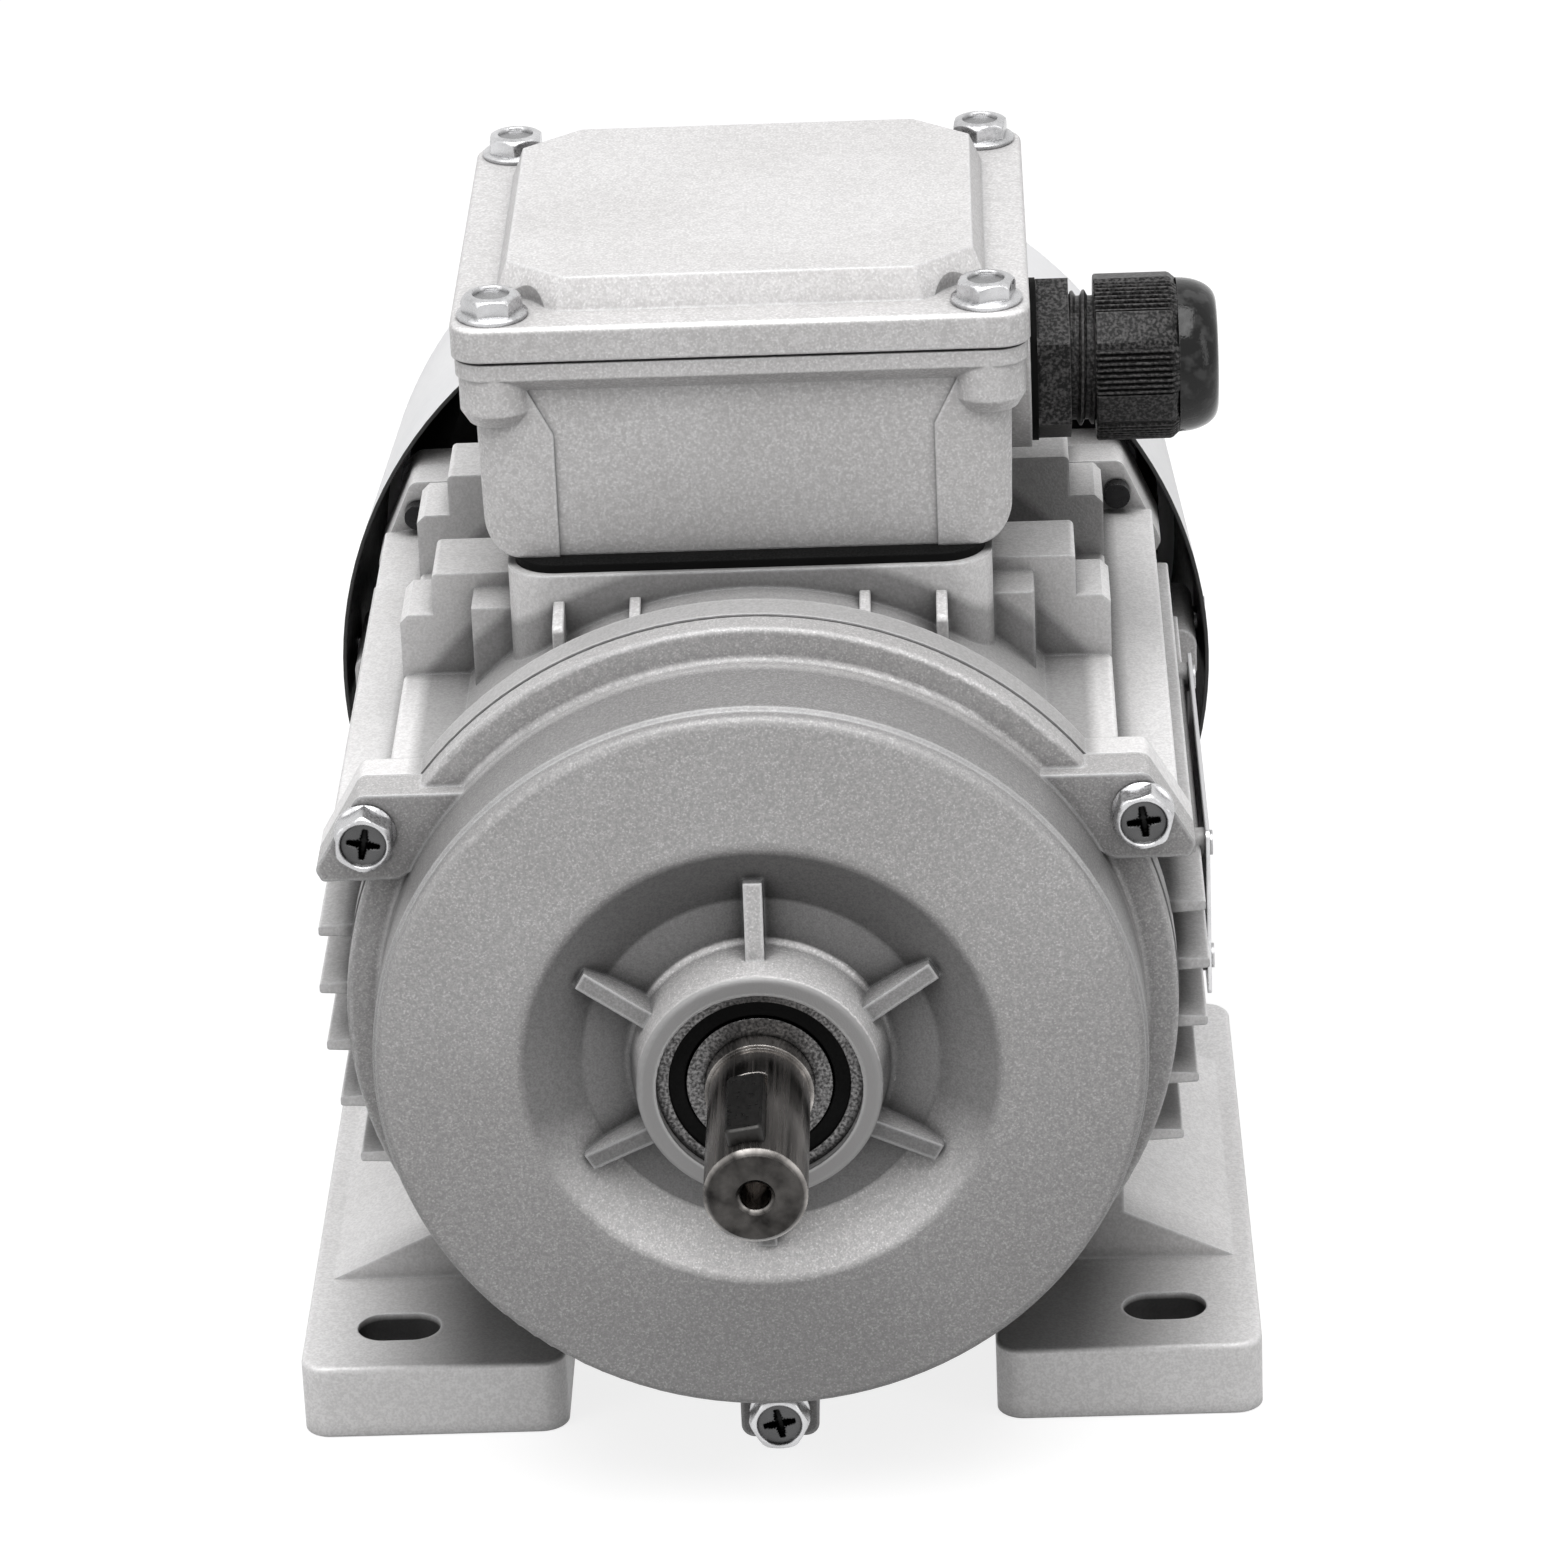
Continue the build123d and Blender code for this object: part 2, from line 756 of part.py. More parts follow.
def rear_end_shield():
    """Rear bearing shield, under the fan cover."""
    flange_rear = frame_rear + shield_flange_thickness
    face = rear_shield_face
    body_r = shield_body_dia / 2
    plate_face = face - 4.0
    outer = turned(
        (frame_rear - spigot_length, 0),
        (frame_rear - spigot_length, frame_bore / 2),
        (frame_rear, frame_bore / 2),
        (frame_rear, shield_flange_dia / 2, 0.5),
        (flange_rear, shield_flange_dia / 2, 0.7),
        (flange_rear, body_r),
        (plate_face, body_r - 1.0, 3.0),
        (plate_face, hub_root_dia / 2 + 3.0, 1.0),
        (face, hub_root_dia / 2, 0.8),
        (face, 0),
    )
    lugs_end = frame_rear + lug_depth
    body = outer + axial(rear_lugs(lugs_end), frame_rear, lugs_end)
    body += [rear_ear(angle) for angle in cover_screw_angles]
    hub_r = bearing_outer_dia / 2 + 3.0
    hollow = turned(
        (frame_rear - spigot_length, 0),
        (frame_rear - spigot_length, frame_bore / 2 - spigot_wall),
        (frame_rear, body_r - shield_wall),
        (plate_face - shield_wall, body_r - shield_wall - 1.0, 2.0),
        (plate_face - shield_wall, hub_r),
        (rear_bearing_y - 0.5, hub_r),
        (rear_bearing_y - 0.5, 0),
    )
    body -= hollow
    washer_end = rear_bearing_y + bearing_width + wave_washer_thickness
    body -= disc(bearing_outer_dia, rear_bearing_y - 0.5, washer_end)
    body -= disc(rear_wall_bore, rear_bearing_y, face)
    body -= lug_holes(rear_screw_dia, frame_rear, frame_rear + lug_depth)
    for angle in cover_screw_angles:
        body -= cover_screw_hole(angle)
    return body


def cover_screw_hole(angle):
    """Threaded hole for one fan cover screw."""
    reach = cover_inner_radius(frame_rear + cover_screw_offset)
    hole = extrude(Circle(cover_screw_dia / 2), amount=-cover_screw_hold)
    hole = Pos(0, frame_rear + cover_screw_offset, shaft_height + reach) * hole
    return hole.rotate(motor_axis, 90 - angle)


def fan_cover():
    """Drawn sheet cover over the fan, with a ringed grille in its rear wall."""
    front_r = cover_front_dia / 2
    rear_r = cover_rear_dia / 2
    sheet = cover_sheet
    body = turned(
        (frame_rear, front_r),
        (cover_rear, rear_r, cover_edge_radius),
        (cover_rear, 0),
        (cover_rear - sheet, 0),
        (cover_rear - sheet, rear_r - sheet, cover_edge_radius - sheet),
        (frame_rear, front_r - sheet),
    )
    sector = 360 / grille_sectors
    slots = Sketch()
    for ring_index in range(grille_rings):
        inner = grille_first_radius + ring_index * grille_pitch
        annulus = Circle(inner + grille_slot_width) - Circle(inner)
        slots += annulus
    spokes = Sketch()
    for i in range(grille_sectors):
        spoke = outline(
            (0, 0),
            on_circle(cover_rear_dia, i * sector - grille_spoke_angle / 2),
            on_circle(cover_rear_dia, i * sector + grille_spoke_angle / 2),
        )
        spokes += spoke
    body -= axial(slots - spokes, cover_rear - 2 * sheet, cover_rear)
    for angle in cover_screw_angles:
        hole = extrude(Circle(cover_screw_dia / 2), amount=4.0, both=True)
        hole = Pos(0, frame_rear + cover_screw_offset, shaft_height + front_r) * hole
        body -= hole.rotate(motor_axis, 90 - angle)
    return body


def fan_cover_screws():
    """Three slotted screws that hold the fan cover to the rear shield."""
    seat = cover_inner_radius(frame_rear + cover_screw_offset - small_head_dia / 2) + cover_sheet
    screws = []
    for angle in cover_screw_angles:
        one = pan_screw(cover_screw_dia, cover_screw_hold, cover_screw_head_height)
        one = Pos(0, frame_rear + cover_screw_offset, shaft_height + seat) * one
        screws.append(one.rotate(motor_axis, 90 - angle))
    return group(screws)


def shaft():
    """Stepped shaft with keyway, centre hole, bearing seats and fan seat."""
    tip_r = shaft_dia / 2
    seat_r = bearing_bore / 2
    shoulder_r = shaft_shoulder_dia / 2
    core_r = shaft_core_dia / 2
    fan_r = fan_seat_dia / 2
    front_shoulder = front_bearing_y + bearing_width
    step = 5.0
    body = turned(
        (tip_y, 0),
        (tip_y, tip_r - shaft_tip_chamfer),
        (tip_y + shaft_tip_chamfer, tip_r),
        (shoulder_y, tip_r),
        (shoulder_y, seat_r),
        (front_shoulder, seat_r),
        (front_shoulder, shoulder_r),
        (front_shoulder + step, shoulder_r),
        (front_shoulder + step, core_r),
        (rear_bearing_y - step, core_r),
        (rear_bearing_y - step, shoulder_r),
        (rear_bearing_y, shoulder_r),
        (rear_bearing_y, seat_r),
        (rear_shield_face - rear_wall, seat_r),
        (rear_shield_face - rear_wall, fan_r),
        (fan_ring_y, fan_r),
        (fan_ring_y, fan_r - fan_ring_groove),
        (fan_ring_y + fan_ring_thickness, fan_r - fan_ring_groove),
        (fan_ring_y + fan_ring_thickness, fan_r),
        (shaft_end_y, fan_r, 0.6),
        (shaft_end_y, 0),
    )
    mouth = (centre_hole_mouth_dia - centre_hole_dia) / 2
    hole = turned(
        (tip_y, 0),
        (tip_y, centre_hole_mouth_dia / 2),
        (tip_y + mouth, centre_hole_dia / 2),
        (tip_y + centre_hole_depth, centre_hole_dia / 2),
        (tip_y + centre_hole_depth + 1.2, 0),
    )
    return body - hole - keyway_cutter()


def keyway_plane():
    """Plane of the keyway floor before it is turned, local X along the shaft."""
    floor = shaft_dia / 2 - keyway_depth
    return Plane(origin=(0, 0, shaft_height + floor), x_dir=(0, 1, 0), z_dir=(0, 0, 1))


def keyway_cutter():
    """Closed keyway with small round corners."""
    start = tip_y + keyway_from_tip
    slot = Pos(start + keyway_length / 2, 0) * RectangleRounded(keyway_length, key_width, key_corner)
    cutter = extrude(keyway_plane() * slot, amount=shaft_dia)
    return cutter.rotate(motor_axis, key_turn)


def shaft_key():
    """Parallel key at the tip end of the keyway."""
    start = tip_y + keyway_from_tip
    bar = Pos(start + key_length / 2, 0) * RectangleRounded(key_length, key_width, key_corner)
    key = extrude(keyway_plane() * bar, amount=key_height)
    key = chamfer(key.faces().sort_by(Axis.Z)[-1].edges(), 0.3)
    return key.rotate(motor_axis, key_turn)


def bearing_outer(y):
    """Outer ring of a sealed ball bearing that starts at y."""
    return ring(bearing_outer_dia, outer_ring_bore, y, y + bearing_width)


def bearing_inner(y):
    """Inner ring of a sealed ball bearing that starts at y."""
    return ring(inner_ring_dia, bearing_bore, y, y + bearing_width)


def bearing_seals(y):
    """The two rubber seals of a ball bearing, held in its outer ring."""
    bore = inner_ring_dia + 2 * seal_clearance
    front = y + seal_recess
    rear = y + bearing_width - seal_recess - seal_thickness
    return group([ring(outer_ring_bore, bore, start, start + seal_thickness) for start in (front, rear)])


def wave_washer():
    """Preload washer behind the rear bearing."""
    y = rear_bearing_y + bearing_width
    return ring(bearing_outer_dia - 0.6, outer_ring_bore, y, y + wave_washer_thickness)


def winding(y_start, y_end, outward):
    """Bound end winding: a thick ring with round corners on its outer end."""
    outer_r = winding_outer_dia / 2
    inner_r = winding_inner_dia / 2
    if outward > 0:
        return turned((y_start, inner_r), (y_start, outer_r), (y_end, outer_r, 4.0), (y_end, inner_r, 3.0))
    return turned((y_end, inner_r), (y_end, outer_r), (y_start, outer_r, 4.0), (y_start, inner_r, 3.0))


def rotor_cage():
    """Cast end rings of the rotor, one at each end of its core."""
    half = core_length / 2
    outer = rotor_dia - 1.0
    rings = []
    for start in (-half - cage_ring_length, half):
        rings.append(ring(outer, cage_ring_inner_dia, start, start + cage_ring_length))
    return group(rings)


def cooling_fan():
    """Radial fan with straight blades, so that it cools in both directions."""
    body = disc(fan_hub_dia, fan_y, fan_y + fan_hub_length)
    body += disc(fan_disc_dia, fan_y, fan_y + fan_disc_thickness)
    plane = Plane(origin=(0, 0, shaft_height), x_dir=(0, 1, 0), z_dir=(1, 0, 0))
    side = outline(
        (fan_y, fan_blade_inner_dia / 2),
        (fan_y, fan_dia / 2 - 4.0),
        (fan_y + 4.0, fan_dia / 2),
        (fan_y + fan_blade_width, fan_dia / 2),
        (fan_y + fan_blade_width, fan_blade_inner_dia / 2 + 8.0),
        (fan_y + fan_disc_thickness, fan_blade_inner_dia / 2),
    )
    blade = extrude(plane * side, amount=fan_blade_thickness / 2, both=True)
    body += [blade.rotate(motor_axis, i * 360 / fan_blade_count) for i in range(fan_blade_count)]
    return body - disc(fan_seat_dia, fan_y, fan_y + fan_hub_length)


def fan_retaining_ring():
    """Ring in the shaft groove that keeps the fan on."""
    bore = fan_seat_dia - 2 * fan_ring_groove
    return ring(fan_ring_dia, bore, fan_ring_y, fan_ring_y + fan_ring_thickness)


def box_plan(width, depth, corner):
    """Rounded rectangle about the middle of the terminal box."""
    return Pos(0, box_centre_y) * RectangleRounded(width, depth, corner)


def lid_screw_places():
    """(x, y) of the four lid screws."""
    half_x = lid_screw_span_x / 2
    half_y = lid_screw_span_y / 2
    return [(x, box_centre_y + y) for x in (-half_x, half_x) for y in (-half_y, half_y)]


def base_screw_places():
    """(x, y) of the four screws that hold the box to the pad."""
    half = base_screw_span / 2
    return [(x, box_centre_y + y) for x in (-half, half) for y in (-half, half)]


def box_cavity():
    """Plan of the space inside the box, clear of the screw columns."""
    columns = [Pos(x, y) * Circle(box_column_dia / 2) for x, y in lid_screw_places()]
    return box_plan(box_cavity_width, box_cavity_depth, box_cavity_corner) - columns


def terminal_box():
    """Cast box: tapering walls, flared flange, round gland boss and screw columns."""
    wall_w = box_width - 2 * box_wall_inset
    wall_d = box_depth - 2 * box_wall_inset
    flare_bottom = box_top - box_flange - box_flare
    wall_plan = box_plan(wall_w, wall_d, box_wall_corner)
    walls = upright(wall_plan, box_bottom, flare_bottom)
    high = Plane.XY.offset(flare_bottom) * wall_plan
    front_view = outline(
        (box_taper - wall_w / 2, box_bottom, box_bottom_round),
        (wall_w / 2 - box_taper, box_bottom, box_bottom_round),
        (wall_w / 2, flare_bottom),
        (-wall_w / 2, flare_bottom),
    )
    plane = Plane(origin=(0, box_centre_y, 0), x_dir=(1, 0, 0), z_dir=(0, -1, 0))
    walls &= extrude(plane * front_view, amount=wall_d, both=True)
    walls -= box_face_recesses(wall_d, flare_bottom)
    rim_plan = box_plan(box_width - 0.8, box_depth - 0.8, box_corner)
    flare = loft([high, Plane.XY.offset(box_top - box_flange) * rim_plan])
    body = walls + flare + upright(rim_plan, box_top - box_flange, box_top)
    body += [Pos(x, y, box_top) * box_corner_boss() for x, y in lid_screw_places()]
    boss_start = box_cavity_width / 2
    body += sideways(Circle(gland_boss_dia / 2), boss_start, gland_boss_face_x, box_centre_y, gland_height)
    body -= upright(box_cavity(), box_bottom + box_floor, box_top)
    body += earth_post()
    body -= sideways(
        Circle(gland_thread_dia / 2), boss_start - 1.0, gland_boss_face_x, box_centre_y, gland_height
    )
    for x, y in lid_screw_places():
        body -= Pos(x, y, box_top) * extrude(Circle(lid_screw_dia / 2), amount=-lid_screw_hole_depth)
    for x, y in base_screw_places():
        body -= Pos(x, y, box_bottom) * extrude(Circle(base_screw_dia / 2), amount=box_floor)
    wires = Pos(0, wire_slot_y - wire_slot_step) * Rectangle(wire_slot_width, wire_slot_depth)
    return body - upright(wires, box_bottom, box_bottom + box_floor)


def box_corner_boss():
    """Short boss round a lid screw under the box's flange, its lower end sloping in to the wall."""
    half = box_boss_dia / 2
    small = half - box_boss_taper * 0.6
    slope_top = box_boss_taper - box_boss_depth
    side = Plane.XZ * outline(
        (0, 0),
        (0, -box_boss_depth),
        (small, -box_boss_depth),
        (half, slope_top),
        (half, 0),
    )
    return revolve(side, axis=Axis.Z)


def box_face_recesses(wall_depth, top):
    """Shallow fields in the front and rear faces of the box, with a corner cut at each top end."""
    half = box_face_width / 2
    plan = outline(
        (-half, box_bottom),
        (half, box_bottom),
        (half, top - 2 * box_field_cut),
        (half + box_field_cut, top),
        (-half - box_field_cut, top),
        (-half, top - 2 * box_field_cut),
    )
    fields = []
    for side in (-1, 1):
        face_y = box_centre_y + side * wall_depth / 2
        plane = Plane(origin=(0, face_y, 0), x_dir=(1, 0, 0), z_dir=(0, -1, 0))
        fields.append(extrude(plane * plan, amount=box_face_recess, both=True))
    return fields


def earth_post():
    """Short post on the box floor for the earth screw."""
    post = extrude(Circle(earth_post_dia / 2), amount=earth_post_height)
    return Pos(earth_post_x, earth_post_y, box_bottom + box_floor) * post


def terminal_box_lid():
    """Cast lid: raised eight-sided panel with scoops round the four screws."""
    body = upright(box_plan(box_width, box_depth, box_corner), lid_bottom, lid_top)
    body = fillet(body.edges().group_by(Axis.Z)[-1], lid_edge_round)
    top = Plane.XY.offset(lid_top + lid_panel_height) * panel_plan(0)
    bottom = Plane.XY.offset(lid_top - 0.5) * panel_plan(lid_panel_bevel)
    body += loft([bottom, top])
    for x, y in lid_screw_places():
        scoop = extrude(Circle(lid_scoop_dia / 2), amount=lid_panel_height + 1.0)
        body -= Pos(x, y, lid_top) * scoop
        body -= Pos(x, y, lid_bottom) * extrude(Circle(lid_screw_dia / 2), amount=lid_thickness)
    hollow = box_plan(lid_panel_width - 8.0, lid_panel_depth - 8.0, box_cavity_corner)
    return body - upright(hollow, lid_bottom, lid_top + lid_panel_height - 3.0)


def panel_plan(grow):
    """Eight-sided plan of the raised panel, grown outward by a bevel."""
    half_x = lid_panel_width / 2 + grow
    half_y = lid_panel_depth / 2 + grow
    cut_x = lid_panel_cut_x + grow * 0.4
    cut_y = lid_panel_cut_y + grow * 0.4
    corners = [
        (half_x - cut_x, half_y),
        (half_x, half_y - cut_y),
        (half_x, cut_y - half_y),
        (half_x - cut_x, -half_y),
        (cut_x - half_x, -half_y),
        (-half_x, cut_y - half_y),
        (-half_x, half_y - cut_y),
        (cut_x - half_x, half_y),
    ]
    return Pos(0, box_centre_y) * outline(*corners)


def lid_gasket():
    """Flat gasket between box and lid."""
    plan = box_plan(box_width - 2.0, box_depth - 2.0, box_corner) - box_cavity()
    plan -= [Pos(x, y) * Circle(lid_screw_dia / 2) for x, y in lid_screw_places()]
    return upright(plan, box_top, lid_bottom)


def box_gasket():
    """Flat gasket between frame pad and box."""
    width = pad_width - 2 * base_gasket_inset
    depth = pad_rear - pad_front - 2 * base_gasket_inset
    plan = Pos(0, (pad_front + pad_rear) / 2) * RectangleRounded(width, depth, pad_corner)
    plan -= [Pos(x, y) * Circle(base_screw_dia / 2) for x, y in base_screw_places()]
    middle = wire_slot_y - wire_slot_step / 2
    plan -= Pos(0, middle) * Rectangle(wire_slot_width, wire_slot_depth + wire_slot_step)
    return upright(plan, pad_top, box_bottom)


def lid_screws():
    """Four hexagon flange screws on the lid."""
    length = lid_thickness + lid_gasket_thickness + lid_screw_hold
    one = screw(lid_screw_dia, length, lid_head_flats, lid_head_flange, lid_head_height, False)
    return group([Pos(x, y, lid_top) * one for x, y in lid_screw_places()])


def box_screws():
    """Four slotted screws inside the box."""
    one = pan_screw(base_screw_dia, box_floor + base_gasket + base_screw_hold)
    return group([Pos(x, y, box_bottom + box_floor) * one for x, y in base_screw_places()])


def terminal_places():
    """(x, y) of the six terminals."""
    middle = (terminal_columns - 1) / 2
    half = terminal_pitch_y / 2
    columns = [(i - middle) * terminal_pitch_x for i in range(terminal_columns)]
    return [(x, box_centre_y + y) for x in columns for y in (-half, half)]


def terminal_block():
    """Moulded block with low barriers between its three terminal pairs."""
    floor = box_bottom + box_floor
    plan = box_plan(block_width, block_depth, 2.0)
    corners = [Pos(x, y) * Circle(small_head_dia / 2 + 0.6) for x, y in base_screw_places()]
    body = upright(plan - corners, floor, floor + block_height)
    for i in range(terminal_columns - 1):
        x = (i - (terminal_columns - 2) / 2) * terminal_pitch_x
        barrier = Pos(x, box_centre_y) * Rectangle(1.6, block_depth - 4.0)
        body += upright(barrier, floor + block_height, floor + block_height + 4.0)
    for x, y in terminal_places():
        body -= Pos(x, y, floor + block_height) * extrude(Circle(terminal_dia / 2), amount=-terminal_foot)
    return body


def terminal_studs():
    """Six brass studs in the terminal block."""
    base = box_bottom + box_floor + block_height - terminal_foot
    stud = extrude(Circle(terminal_dia / 2), amount=terminal_foot + terminal_height)
    return group([Pos(x, y, base) * stud for x, y in terminal_places()])


def terminal_links():
    """Three brass links, each joining a pair of terminals."""
    top = box_bottom + box_floor + block_height
    places = terminal_places()
    links = []
    for i in range(terminal_columns):
        x = places[2 * i][0]
        plan = Rot(0, 0, 90) * SlotOverall(terminal_pitch_y + link_width, link_width)
        plan = Pos(x, box_centre_y) * plan
        plan -= [Pos(*places[2 * i + k]) * Circle(terminal_dia / 2) for k in range(2)]
        links.append(upright(plan, top, top + link_thickness))
    return group(links)


def terminal_nuts():
    """Six hexagon nuts that hold the links."""
    seat = box_bottom + box_floor + block_height + link_thickness
    plan = RegularPolygon(terminal_nut_flats / 2, 6, major_radius=False) - Circle(terminal_dia / 2)
    nut = extrude(plan, amount=terminal_nut_height)
    return group([Pos(x, y, seat) * nut for x, y in terminal_places()])


def earth_screw():
    """Earth screw on its post inside the box."""
    top = box_bottom + box_floor + earth_post_height
    return Pos(earth_post_x, earth_post_y, top) * slotted_head(small_head_height)


def about_gland(*corners):
    """Body of revolution about the gland's axis from corners (x, radius)."""
    plane = Plane(origin=(0, box_centre_y, gland_height), x_dir=(1, 0, 0), z_dir=(0, -1, 0))
    axis = Axis((0, box_centre_y, gland_height), (1, 0, 0))
    return revolve(plane * outline(*corners), axis=axis)


def gland_hexagon(flats, x_start, x_end):
    """Hexagon about the gland's axis with a corner at the top."""
    plan = RegularPolygon(flats / 2, 6, major_radius=False)
    return sideways(Rot(0, 0, 30) * plan, x_start, x_end, box_centre_y, gland_height)


def gland_places():
    """X where washer, hexagon, neck, grip and dome of the gland end."""
    washer = gland_boss_face_x + gland_washer_thickness
    hexagon = washer + gland_hex_length
    neck = hexagon + gland_neck_length
    grip = neck + gland_nut_length
    return washer, hexagon, neck, grip, grip + gland_dome_length


def gland_body():
    """Gland body: thread through the wall, hexagon and neck inside the dome nut."""
    washer, hexagon, neck, grip, end = gland_places()
    thread_start = box_cavity_width / 2 - 1.0
    sleeve = grip - gland_nut_wall
    body = sideways(Circle(gland_thread_dia / 2), thread_start, washer, box_centre_y, gland_height)
    body += gland_hexagon(gland_hex_flats, washer, hexagon)
    body += sideways(Circle(gland_neck_dia / 2), hexagon, sleeve, box_centre_y, gland_height)
    bore = Circle(gland_body_bore / 2)
    return body - sideways(bore, thread_start, sleeve, box_centre_y, gland_height)


def gland_washer():
    """Sealing washer between gland and boss."""
    plan = Circle(gland_washer_dia / 2) - Circle(gland_thread_dia / 2)
    end = gland_boss_face_x + gland_washer_thickness
    return sideways(plan, gland_boss_face_x, end, box_centre_y, gland_height)


def gland_nut():
    """Dome nut: faceted grip and a domed end round the cable entry."""
    washer, hexagon, neck, grip, end = gland_places()
    plan = RegularPolygon(gland_nut_dia / 2, gland_nut_facets)
    body = sideways(plan, neck, grip, box_centre_y, gland_height)
    body += about_gland(
        (grip, 0),
        (grip, gland_dome_dia / 2),
        (end, gland_dome_dia / 2 - 0.6, 4.2),
        (end, 0),
    )
    sleeve = grip - gland_nut_wall
    body -= sideways(Circle(gland_neck_dia / 2), neck, sleeve, box_centre_y, gland_height)
    return body - sideways(Circle(gland_mouth_dia / 2), sleeve, end, box_centre_y, gland_height)


def gland_seal():
    """Rubber sleeve that grips the cable, seen in the mouth of the dome nut."""
    washer, hexagon, neck, grip, end = gland_places()
    plan = Circle(gland_mouth_dia / 2) - Circle(gland_cable_dia / 2)
    return sideways(plan, hexagon, end - 1.0, box_centre_y, gland_height)


def rating_plate():
    """Blank plate held off the side fins by four posts."""
    start = fin_reach + ear_clearance
    middle_y = (plate_front + plate_rear) / 2
    middle_rise = (plate_bottom_rise + plate_top_rise) / 2
    plan = RectangleRounded(plate_rear - plate_front, plate_top_rise - plate_bottom_rise, 1.5)
    body = sideways(plan, start, start + plate_thickness, middle_y, shaft_height + middle_rise)
    for y, rise in plate_post_places():
        hole = Circle(rivet_dia / 2)
        body -= sideways(hole, start, start + plate_thickness, y, shaft_height + rise)
    return body


def plate_rivets():
    """Four rivets that hold the blank plate."""
    seat = fin_reach + ear_clearance + plate_thickness
    rivets = []
    for y, rise in plate_post_places():
        z = shaft_height + rise
        shank = sideways(Circle(rivet_dia / 2), seat - plate_thickness - rivet_hold, seat, y, z)
        head = sideways(Circle(rivet_head_dia / 2), seat, seat + rivet_head_height, y, z)
        rivets.append(shank + head)
    return group(rivets)


def build():
    """Every piece by the name of its node."""
    half_core = core_length / 2
    return {
        "stator_frame": stator_frame(),
        "foot_left": foot(-1),
        "foot_right": foot(1),
        "foot_screws": foot_screws(),
        "drive_end_shield": drive_end_shield(),
        "drive_end_screws": drive_end_screws(),
        "rear_end_shield": rear_end_shield(),
        "rear_end_screws": rear_end_screws(),
        "stator_core": ring(frame_bore, stator_bore, -half_core, half_core),
        "winding_front": winding(-half_core - winding_length, -half_core, -1),
        "winding_rear": winding(half_core, half_core + winding_length, 1),
        "terminal_box": terminal_box(),
        "terminal_box_lid": terminal_box_lid(),
        "lid_gasket": lid_gasket(),
        "box_gasket": box_gasket(),
        "lid_screws": lid_screws(),
        "box_screws": box_screws(),
        "terminal_block": terminal_block(),
        "terminal_studs": terminal_studs(),
        "terminal_links": terminal_links(),
        "terminal_nuts": terminal_nuts(),
        "earth_screw": earth_screw(),
        "gland_body": gland_body(),
        "gland_washer": gland_washer(),
        "gland_nut": gland_nut(),
        "gland_seal": gland_seal(),
        "fan_cover": fan_cover(),
        "fan_cover_screws": fan_cover_screws(),
        "rating_plate": rating_plate(),
        "plate_rivets": plate_rivets(),
        "drive_bearing_outer": bearing_outer(front_bearing_y),
        "drive_bearing_seals": bearing_seals(front_bearing_y),
        "drive_bearing_inner": bearing_inner(front_bearing_y),
        "rear_bearing_outer": bearing_outer(rear_bearing_y),
        "rear_bearing_seals": bearing_seals(rear_bearing_y),
        "rear_bearing_inner": bearing_inner(rear_bearing_y),
        "wave_washer": wave_washer(),
        "shaft": shaft(),
        "shaft_key": shaft_key(),
        "rotor_core": ring(rotor_dia, shaft_core_dia, -half_core, half_core),
        "rotor_cage": rotor_cage(),
        "cooling_fan": cooling_fan(),
        "fan_retaining_ring": fan_retaining_ring(),
    }


def main():
    os.makedirs("parts", exist_ok=True)
    for name, shape in build().items():
        export_step(shape, f"parts/{name}.step")


main()
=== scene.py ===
import bpy
import bmesh
import json
import math
from mathutils import Matrix, Vector


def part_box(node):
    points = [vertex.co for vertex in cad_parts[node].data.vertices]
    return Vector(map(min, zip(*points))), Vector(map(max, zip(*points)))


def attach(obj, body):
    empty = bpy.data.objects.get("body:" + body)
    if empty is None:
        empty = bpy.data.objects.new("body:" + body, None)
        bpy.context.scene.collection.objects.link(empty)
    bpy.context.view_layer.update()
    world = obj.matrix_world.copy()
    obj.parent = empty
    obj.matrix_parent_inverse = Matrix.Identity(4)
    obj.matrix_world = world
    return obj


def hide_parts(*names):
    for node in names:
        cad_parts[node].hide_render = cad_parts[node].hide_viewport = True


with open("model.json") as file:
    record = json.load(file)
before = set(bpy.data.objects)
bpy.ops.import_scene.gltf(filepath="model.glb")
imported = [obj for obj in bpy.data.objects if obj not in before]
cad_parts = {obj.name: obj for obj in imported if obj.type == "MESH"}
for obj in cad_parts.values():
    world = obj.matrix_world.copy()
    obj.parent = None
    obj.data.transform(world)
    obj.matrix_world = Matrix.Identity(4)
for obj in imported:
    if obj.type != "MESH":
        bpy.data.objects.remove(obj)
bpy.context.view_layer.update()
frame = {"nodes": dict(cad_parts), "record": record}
nodes = frame["nodes"]
MM = 0.001
AXIS_HEIGHT = 71.0 * MM
GLAND_DOME_LENGTH = 5.7 * MM
USUAL_SPECULAR = 0.5
DEEPEST = (0.006, 0.006, 0.006)


